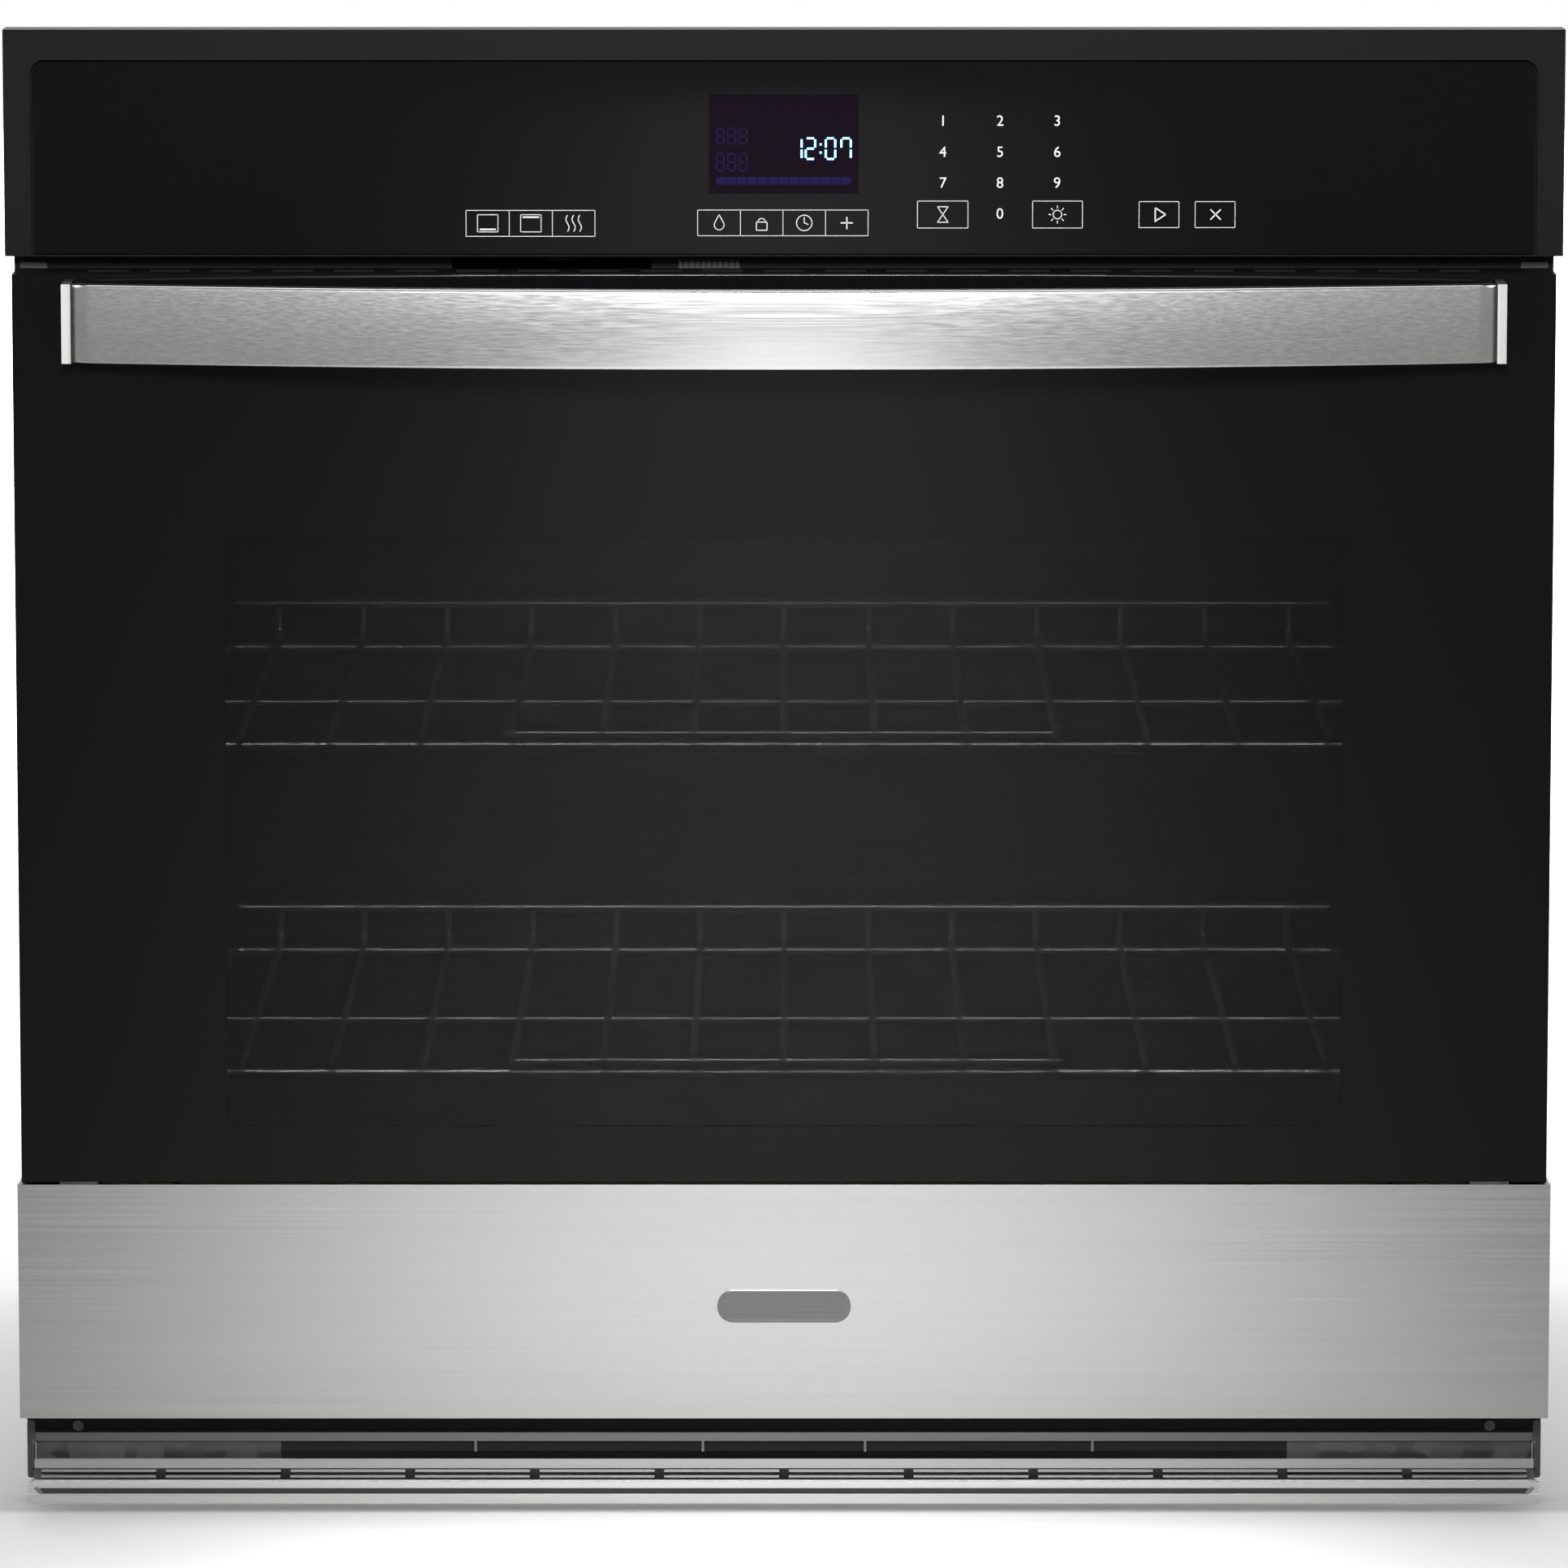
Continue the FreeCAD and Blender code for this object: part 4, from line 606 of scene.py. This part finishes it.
def make_blankets():
    """The mats round the oven's liner, and the ring of wool inside the door round its window."""
    low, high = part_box("oven_insulation")
    left, right, floor, roof, back = -0.3122, 0.3122, 0.0496, 0.5402, 0.4892
    oven_mats = [((low.x, low.y, low.z), (left, high.y, high.z)),
                 ((right, low.y, low.z), (high.x, high.y, high.z)),
                 ((left, low.y, roof), (right, high.y, high.z)),
                 ((left, low.y, low.z), (right, high.y, floor)),
                 ((left, back, floor), (right, high.y, roof))]

    low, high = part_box("door_insulation")
    across, bottom, top = 0.300, 0.150, 0.490
    door_mats = [((low.x, low.y, low.z), (-across, high.y, high.z)),
                 ((across, low.y, low.z), (high.x, high.y, high.z)),
                 ((-across, low.y, top), (across, high.y, high.z)),
                 ((-across, low.y, low.z), (across, high.y, bottom))]

    for name, mats, body, source in (("oven_blanket", oven_mats, "chassis", "oven_insulation"),
                                     ("door_blanket", door_mats, "door", "door_insulation")):
        def build(shape):
            for near, far in mats:
                slab = bmesh.new()
                add_mat(slab, near, far)
                spare = bpy.data.meshes.new("mat")
                slab.to_mesh(spare)
                slab.free()
                shape.from_mesh(spare)
                bpy.data.meshes.remove(spare)

        add_piece(name, mesh_from(name, build), WOOL, body, [source])


# Printed marks and display on the control glass

CONTROL_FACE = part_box("control_glass")[0].y
INK_DEPTH = 0.00006


def print_quads(name, quads, material=PRINT, lift=INK_DEPTH):
    """Thin printed shapes on the control glass, each a list of (x, z) corners in millimetres."""
    def build(shape):
        for quad in quads:
            extrude_outline(shape, [(x * MM, z * MM) for x, z in quad], CONTROL_FACE - lift,
                            CONTROL_FACE + 0.00002)
    return add_piece(name, mesh_from(name, build, smooth=False), material, "chassis")


def bar(low_x, low_z, high_x, high_z):
    """A filled rectangle."""
    return [(low_x, low_z), (high_x, low_z), (high_x, high_z), (low_x, high_z)]


def stroke(start, end, width=0.42):
    """A straight printed line."""
    along = Vector((end[0] - start[0], end[1] - start[1]))
    aside = Vector((-along.y, along.x)).normalized() * width / 2
    return [(start[0] + aside.x, start[1] + aside.y), (start[0] - aside.x, start[1] - aside.y),
            (end[0] - aside.x, end[1] - aside.y), (end[0] + aside.x, end[1] + aside.y)]


def polyline(points, width=0.42):
    """Printed lines from point to point."""
    return [stroke(a, b, width) for a, b in zip(points, points[1:])]


def arc(x, z, radius, start=0, end=360, steps=20):
    """A printed arc about x, z."""
    return polyline([(x + across, z + up) for across, up in circle_points(radius, start, end, steps)])


def frame_box(low_x, low_z, high_x, high_z, dividers=(), width=0.3):
    """An outlined group of keys."""
    corners = [(low_x, low_z), (high_x, low_z), (high_x, high_z), (low_x, high_z), (low_x, low_z)]
    lines = polyline(corners, width)
    for x in dividers:
        lines.append(stroke((x, low_z), (x, high_z), width))
    return lines


# Pictograms, each about the point x, z

def icon_bake(x, z, heater=-3):
    """An oven with its heater below."""
    oven = frame_box(x - 5, z - 4.2, x + 5, z + 4.2, width=0.35)
    return [stroke((x - 4, z + heater), (x + 4, z + heater), 0.8)] + oven


def icon_broil(x, z):
    """An oven with its heater above."""
    return icon_bake(x, z, heater=3)


def icon_warm(x, z):
    """Three rising waves."""
    lines = []
    for shift in (-3, 0, 3):
        lines += polyline([(x + shift + 0.8 * math.sin(k * math.pi / 4), z - 4 + k) for k in range(9)], 0.45)
    return lines


def icon_clock(x, z):
    """A dial with two hands."""
    return arc(x, z, 3.8) + [stroke((x, z), (x, z + 2.8)), stroke((x, z), (x + 2, z - 0.8))]


def icon_timer(x, z):
    """An hourglass."""
    return polyline([(x - 2.6, z + 3.8), (x + 2.6, z + 3.8), (x - 2.6, z - 3.8), (x + 2.6, z - 3.8),
                     (x - 2.6, z + 3.8)])


def icon_lamp(x, z):
    """A disc with eight rays."""
    inner, outer = circle_points(3, steps=8)[:-1], circle_points(4.4, steps=8)[:-1]
    rays = [stroke((x + a, z + b), (x + c, z + d)) for (a, b), (c, d) in zip(inner, outer)]
    return arc(x, z, 2.1) + rays


def icon_lock(x, z):
    """A padlock."""
    return frame_box(x - 2.6, z - 3.6, x + 2.6, z + 0.4, width=0.45) + arc(x, z + 0.4, 1.8, 0, 180, 12)


def icon_drop(x, z):
    """A drop of water."""
    sweep = arc(x, z - 1, 2.4, 150, 390, 14)
    return sweep + polyline([(x - 2.08, z + 0.2), (x, z + 4), (x + 2.08, z + 0.2)])


def icon_more(x, z):
    """A plus sign."""
    return [stroke((x - 3, z), (x + 3, z), 0.6), stroke((x, z - 3), (x, z + 3), 0.6)]


SEGMENTS = {"0": "abcdef", "1": "bc", "2": "abged", "7": "abcf", "8": "abcdefg"}
SEGMENT_ENDS = {"a": ((0, 1), (1, 1)), "b": ((1, 1), (1, 0.5)), "c": ((1, 0.5), (1, 0)),
                "d": ((0, 0), (1, 0)), "e": ((0, 0.5), (0, 0)), "f": ((0, 1), (0, 0.5)),
                "g": ((0, 0.5), (1, 0.5))}


def digit(symbol, x, z, wide, tall, width):
    """A seven-segment numeral whose lower left corner is at x, z."""
    lines = []
    for segment in SEGMENTS[symbol]:
        (ax, az), (bx, bz) = SEGMENT_ENDS[segment]
        start = Vector((x + ax * wide, z + az * tall))
        end = Vector((x + bx * wide, z + bz * tall))
        gap = (end - start).normalized() * width * 0.55
        lines.append(stroke(start + gap, end - gap, width))
    return lines


def numeral(text, x, z, height=5.3):
    """A printed number on the glass, with its middle at x, z in millimetres."""
    thickness, capital_share = 0.00003, 0.72
    curve = bpy.data.curves.new("numeral_" + text, "FONT")
    curve.body = text
    curve.align_x = "CENTER"
    curve.align_y = "CENTER"
    curve.size = height * MM / capital_share
    curve.extrude = thickness
    thing = bpy.data.objects.new("numeral_" + text, curve)
    thing.rotation_euler = (math.radians(90), 0, 0)
    thing.location = (x * MM, CONTROL_FACE - thickness, z * MM)
    bpy.context.scene.collection.objects.link(thing)
    curve.materials.append(PRINT)
    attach(thing, "chassis")
    return thing


def make_control_marks():
    """The keys' outlines and pictograms, the numbers, and the display with its lit and unlit segments."""
    print_quads("bake_keys", frame_box(-155.4, 610.4, -92.4, 623.1, (-134.3, -113.2))
                + icon_bake(-144.8, 616.8) + icon_broil(-123.7, 616.8) + icon_warm(-102.8, 616.8))
    print_quads("option_keys", frame_box(-42.2, 610.7, 41.1, 623.3, (-21.3, -0.5, 20.3))
                + icon_drop(-31.7, 617) + icon_lock(-10.9, 617)
                + icon_clock(9.9, 617) + icon_more(30.7, 617))
    print_quads("timer_key", frame_box(65.2, 614.5, 89.9, 627.7) + icon_timer(77.6, 621.1))
    print_quads("lamp_key", frame_box(121.5, 614.5, 145.8, 627.7) + icon_lamp(133.6, 621.1))
    print_quads("start_key", frame_box(173.5, 614.7, 193.0, 627.4)
                + polyline([(181.4, 617.8), (186.5, 621.1), (181.4, 624.4), (181.4, 617.4)], 0.6))
    print_quads("cancel_key", frame_box(200.9, 614.7, 220.4, 627.4)
                + [stroke((208.4, 618.6), (213.4, 623.6), 0.6), stroke((208.4, 623.6), (213.4, 618.6), 0.6)])
    for row, level in enumerate((666.7, 651.5, 636.4)):
        for column, x in enumerate((77.6, 105.5, 133.4)):
            numeral(str(row * 3 + column + 1), x, level)
    numeral("0", 105.5, 621.3)

    print_quads("display_window", [bar(-36.7, 631.2, 36.3, 679.7)], SCREEN, 0.00004)
    dash_starts = [-33.1 + 5.1 * k for k in range(13)]
    ghost = [bar(start, 635.8, start + 4.6, 639.5) for start in dash_starts]
    for base, tall in ((655.8, 7.4), (642.5, 8.3)):
        for k in range(3):
            ghost += digit("8", -33 + 5.6 * k, base, 3.6, tall, 0.8)
    print_quads("unlit_segments", ghost, GHOST, 0.00007)
    lit = []
    for symbol, x in (("1", 4.0), ("2", 10.6), ("0", 20.4), ("7", 28.0)):
        lit += digit(symbol, x, 648.3, 4.6, 10.1, 1.0)
    lit += [bar(17.4, 650.9, 18.4, 651.9), bar(17.4, 654.9, 18.4, 655.9)]
    print_quads("lit_digits", lit, DIGITS, 0.0001)


# Small parts of the frame and the chassis

def make_corner_bars():
    """Grey brackets at the two ends of the gap above the door."""
    low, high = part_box("outlet_comb")
    inner, outer, corner, thickness = 0.3615, 0.375, 0.001, 0.003
    for word, side in (("left", -1), ("right", 1)):
        near, far = sorted((side * inner, side * outer))

        def build(shape):
            outline = rounded_outline((near, low.z + 0.001), (far, low.z + 0.0075), corner, 3)
            extrude_outline(shape, outline, high.y - thickness, high.y)

        piece = add_piece(f"frame_corner_bar_{word}", mesh_from("corner_bar", build, smooth=False),
                          GREY_PLASTIC, "chassis")
        soften(piece, 0.0003, 2)


def make_gap_details():
    """What shows round the air vent: screws darkened as painted shade, tabs, and a dark strip painted as the
    shadow in the trim's groove, with the trim's folded ends.
    """
    frame_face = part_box("front_frame")[0].y
    panel_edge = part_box("door_lower_panel")[0].z
    trim_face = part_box("vent_lower_trim")[0].y
    screw_across, screw_level = 0.355, 0.0185
    tab_inner, tab_outer, tab_front, tab_back = 0.3344, 0.3427, -0.030, -0.0285
    groove_low, groove_high, groove_low_half, groove_high_half = -0.0172, -0.0143, 0.3690, 0.3705
    groove_depth = trim_face + 0.0004

    def screws(shape):
        for side in (-1, 1):
            add_screw_head(shape, (side * screw_across, frame_face, screw_level), (0, -1, 0), 0.0025, 0.0014)

    # The screws in the gap take the steel darkened as painted shade.
    add_piece("gap_screws", mesh_from("gap_screws", screws), PAINTED_SHADE_STEEL, "chassis")

    def tabs(shape):
        for side in (-1, 1):
            near, far = sorted((side * tab_inner, side * tab_outer))
            outline = rounded_outline((near, panel_edge - 0.0022), (far, panel_edge + 0.001), 0.0008, 3)
            extrude_outline(shape, outline, tab_front, tab_back)

    add_piece("door_edge_tabs", mesh_from("door_edge_tabs", tabs, smooth=False), ZINC, "door")

    # A dark strip in the trim's groove, painted as the groove's shadow.
    def groove(shape):
        outline = [(-groove_low_half, groove_low), (groove_low_half, groove_low),
                   (groove_high_half, groove_high), (-groove_high_half, groove_high)]
        extrude_outline(shape, outline, groove_depth, groove_depth + 0.0003)

    add_piece("trim_groove", mesh_from("trim_groove", groove, smooth=False), GROOVE_SHADOW_STEEL, "chassis")

    folds = []
    for side in (-1, 1):
        folds.append([(side * (0.3728 - 0.0044 * k / 6), groove_depth + 0.0014 * k / 6,
                       -0.0136 - 0.0036 * math.sin(math.radians(15 * k))) for k in range(7)])
    tube_set("trim_fold_ends", folds, 0.001, SATIN_STEEL, "chassis", (), sides=6)


def add_screw_head(shape, where, outward, radius=0.0042, height=0.002):
    """A low domed head with a dimple in its middle."""
    turn = Vector((0, 0, 1)).rotation_difference(Vector(outward))
    rings = []
    for level, share in ((0, 1.0), (0.45, 0.96), (0.8, 0.75), (1.0, 0.42), (0.72, 0.2)):
        rings.append([shape.verts.new(Vector(where) + turn @ Vector((x, y, height * level)))
                      for x, y in circle_points(radius * share, steps=20)[:-1]])
    skin(shape, rings)


def make_panel_screws():
    """Screws along the edges of the side, rear and top sheets."""
    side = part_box("side_panels")[1].x
    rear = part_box("rear_panel")[1].y
    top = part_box("top_panel")[1].z
    low_row, depths, spread = 0.03, (0.03, 0.2, 0.39, 0.57), (-0.34, -0.17, 0, 0.17, 0.34)

    def build(shape):
        for y in depths:
            for z in (low_row, top - 0.02):
                add_screw_head(shape, (side, y, z), (1, 0, 0))
                add_screw_head(shape, (-side, y, z), (-1, 0, 0))
        for x in spread:
            for z in (low_row, top - 0.015):
                add_screw_head(shape, (x, rear, z), (0, 1, 0))
            add_screw_head(shape, (x, 0.02, top), (0, 0, 1))
            add_screw_head(shape, (x, rear - 0.012, top), (0, 0, 1))

    add_piece("panel_screws", mesh_from("panel_screws", build), SCREW_STEEL, "chassis")


def make_panel_beads():
    """Stiffening beads pressed outwards in the side and rear sheets."""
    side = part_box("side_panels")[1].x
    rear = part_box("rear_panel")[1].y
    width, height, steps = 0.018, 0.0015, 40
    rows = ((0.0, 1.0), (0.5, 0.9), (0.85, 0.7), (1.0, 0.4))
    side_length, side_middle, rear_length = 0.46, 0.33, 0.56

    def bead(shape, centre, length, outward, up):
        """A long low mound with round ends."""
        outward, up = Vector(outward), Vector(up)
        across = outward.cross(up)
        rings = []
        for rise, share in rows:
            ring = []
            for k in range(steps):
                angle = 2 * math.pi * k / steps
                shift = (length - width) / 2 * (1 if math.sin(angle) > 0 else -1)
                local = across * (width / 2 * share * math.cos(angle))
                local += up * (width / 2 * share * math.sin(angle) + shift)
                ring.append(shape.verts.new(Vector(centre) + local + outward * height * rise))
            rings.append(ring)
        skin(shape, rings)

    def build(shape):
        for y in (0.14, 0.3, 0.46):
            bead(shape, (side, y, side_middle), side_length, (1, 0, 0), (0, 0, 1))
            bead(shape, (-side, y, side_middle), side_length, (-1, 0, 0), (0, 0, 1))
        for z in (0.12, 0.3, 0.48):
            bead(shape, (0, rear, z), rear_length, (0, 1, 0), (1, 0, 0))

    add_piece("panel_beads", mesh_from("panel_beads", build), ZINC, "chassis")


make_handle()
make_door_glass()
make_badge()
make_rack("rack_upper")
make_rack("rack_lower")
make_element("broil_element", 6, 0.09, 0.004, 0.515, 0.08, 0.42)
make_element("bake_element", 4, 0.08, 0.0035, 0.062, 0.08, 0.40)
make_gasket()
make_springs()
make_blankets()
make_control_marks()
make_gap_details()
make_corner_bars()
make_panel_screws()
make_panel_beads()


# Floor, light and camera

def make_floor():
    """A wide pale floor that the trim's lower edge stands on."""
    paint = Shader("pale_floor", (0.86, 0.86, 0.86), roughness=0.9)
    paint.vary_color(paint.noise((3, 3, 3)), (0.85, 0.85, 0.85), (0.87, 0.87, 0.87))
    near, far, half = -12.0, 9.0, 12.0

    def build(shape):
        corners = ((-half, near), (half, near), (half, far), (-half, far))
        shape.faces.new([shape.verts.new((x, y, cad_box[0].z)) for x, y in corners])

    mesh = mesh_from("floor", build, smooth=False)
    mesh.materials.append(paint.material)
    thing = bpy.data.objects.new("floor", mesh)
    bpy.context.scene.collection.objects.link(thing)
    thing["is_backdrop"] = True
    return thing


def add_light(name, where, aim, width, height, power, spread=180, only=None):
    """A rectangular softbox; its spread is the full angle of its beam in degrees."""
    light = bpy.data.lights.new(name, "AREA")
    light.shape = "RECTANGLE"
    light.size = width
    light.size_y = height
    light.energy = power
    light.spread = math.radians(spread)
    thing = bpy.data.objects.new(name, light)
    thing.location = where
    thing.rotation_euler = (Vector(aim) - Vector(where)).to_track_quat("-Z", "Y").to_euler()
    bpy.context.scene.collection.objects.link(thing)
    if only:
        thing.light_linking.receiver_collection = only


def make_world():
    """White where it is looked at, and dimmer as a light, so the softboxes shape the reflections."""
    world = bpy.data.worlds.new("studio")
    world.use_nodes = True
    tree = world.node_tree
    seen = tree.nodes["Background"]
    seen.inputs["Color"].default_value = (1, 1, 1, 1)
    seen.inputs["Strength"].default_value = 1.0
    fill = tree.nodes.new("ShaderNodeBackground")
    fill.inputs["Color"].default_value = (1, 1, 1, 1)
    fill.inputs["Strength"].default_value = 0.5
    path = tree.nodes.new("ShaderNodeLightPath")
    mix = tree.nodes.new("ShaderNodeMixShader")
    tree.links.new(path.outputs["Is Camera Ray"], mix.inputs["Fac"])
    tree.links.new(fill.outputs["Background"], mix.inputs[1])
    tree.links.new(seen.outputs["Background"], mix.inputs[2])
    tree.links.new(mix.outputs["Shader"], tree.nodes["World Output"].inputs["Surface"])
    bpy.context.scene.world = world


def make_studio(floor):
    """Softboxes for the oven and for the floor apart, and small lights for the vent and the racks."""
    make_world()
    oven_only = bpy.data.collections.new("lit_oven")
    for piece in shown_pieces():
        oven_only.objects.link(piece)
    floor_only = bpy.data.collections.new("lit_floor")
    floor_only.objects.link(floor)
    # A long box over the floor in front, whose pool of light is what the door and the steel reflect
    add_light("front_pool", (0, -4.9, 1.6), (0, -4.9, 0), 0.3, 9.6, 40, spread=36, only=floor_only)
    add_light("front_box", (0, -5.4, 2.4), (0, 0, 0.35), 0.7, 1.2, 14, spread=24, only=oven_only)
    add_light("top_box", (0, 0.5, 2.6), (0, 0.4, 0), 2.5, 1.2, 22, only=oven_only)
    add_light("left_box", (-3.0, 0.6, 1.8), (-0.36, 0.3, 0.3), 1.6, 1.6, 60, only=oven_only)
    add_light("right_box", (3.0, 0.6, 1.8), (0.36, 0.3, 0.3), 1.6, 1.6, 60, only=oven_only)
    add_light("rear_box", (0, 3.8, 2.0), (0, 0.6, 0.3), 2.5, 1.6, 12, only=oven_only)
    add_light("rear_floor", (0, 5.5, 5.0), (0, 5.5, 0), 8.0, 7.0, 800, spread=70, only=floor_only)
    # A low light for the air vent, whose own reflection is of the shaded floor right in front of it
    vent_only = bpy.data.collections.new("lit_vent")
    for name in ("vent_top_strip", "vent_louvre_panel", "vent_lower_trim"):
        vent_only.objects.link(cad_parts[name])
    add_light("vent_light", (0, -1.6, 0.10), (0, 0, -0.01), 0.2, 0.12, 16, only=vent_only)
    # Inside the oven, above the window, one light for each rack
    for rack, power in (("rack_upper", 0.6), ("rack_lower", 2.0)):
        rack_only = bpy.data.collections.new("lit_" + rack)
        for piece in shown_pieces():
            if piece.name.startswith(rack):
                rack_only.objects.link(piece)
        add_light(rack + "_glow", (0, 0.012, 0.500), (0, 0.16, 0.30), 0.62, 0.02, power, only=rack_only)
    bpy.context.scene.view_settings.view_transform = "Standard"


def make_camera():
    """A long lens in front of the door, a little above it."""
    camera = bpy.data.cameras.new("camera")
    camera.lens = 223.6
    camera.sensor_width = 36
    camera.clip_end = 100
    thing = bpy.data.objects.new("camera", camera)
    thing.location = (0, -4.772, 1.023)
    aim = Vector((0, -0.022, 0.340))
    thing.rotation_euler = (aim - thing.location).to_track_quat("-Z", "Y").to_euler()
    bpy.context.scene.collection.objects.link(thing)
    bpy.context.scene.camera = thing


make_studio(make_floor())
make_camera()
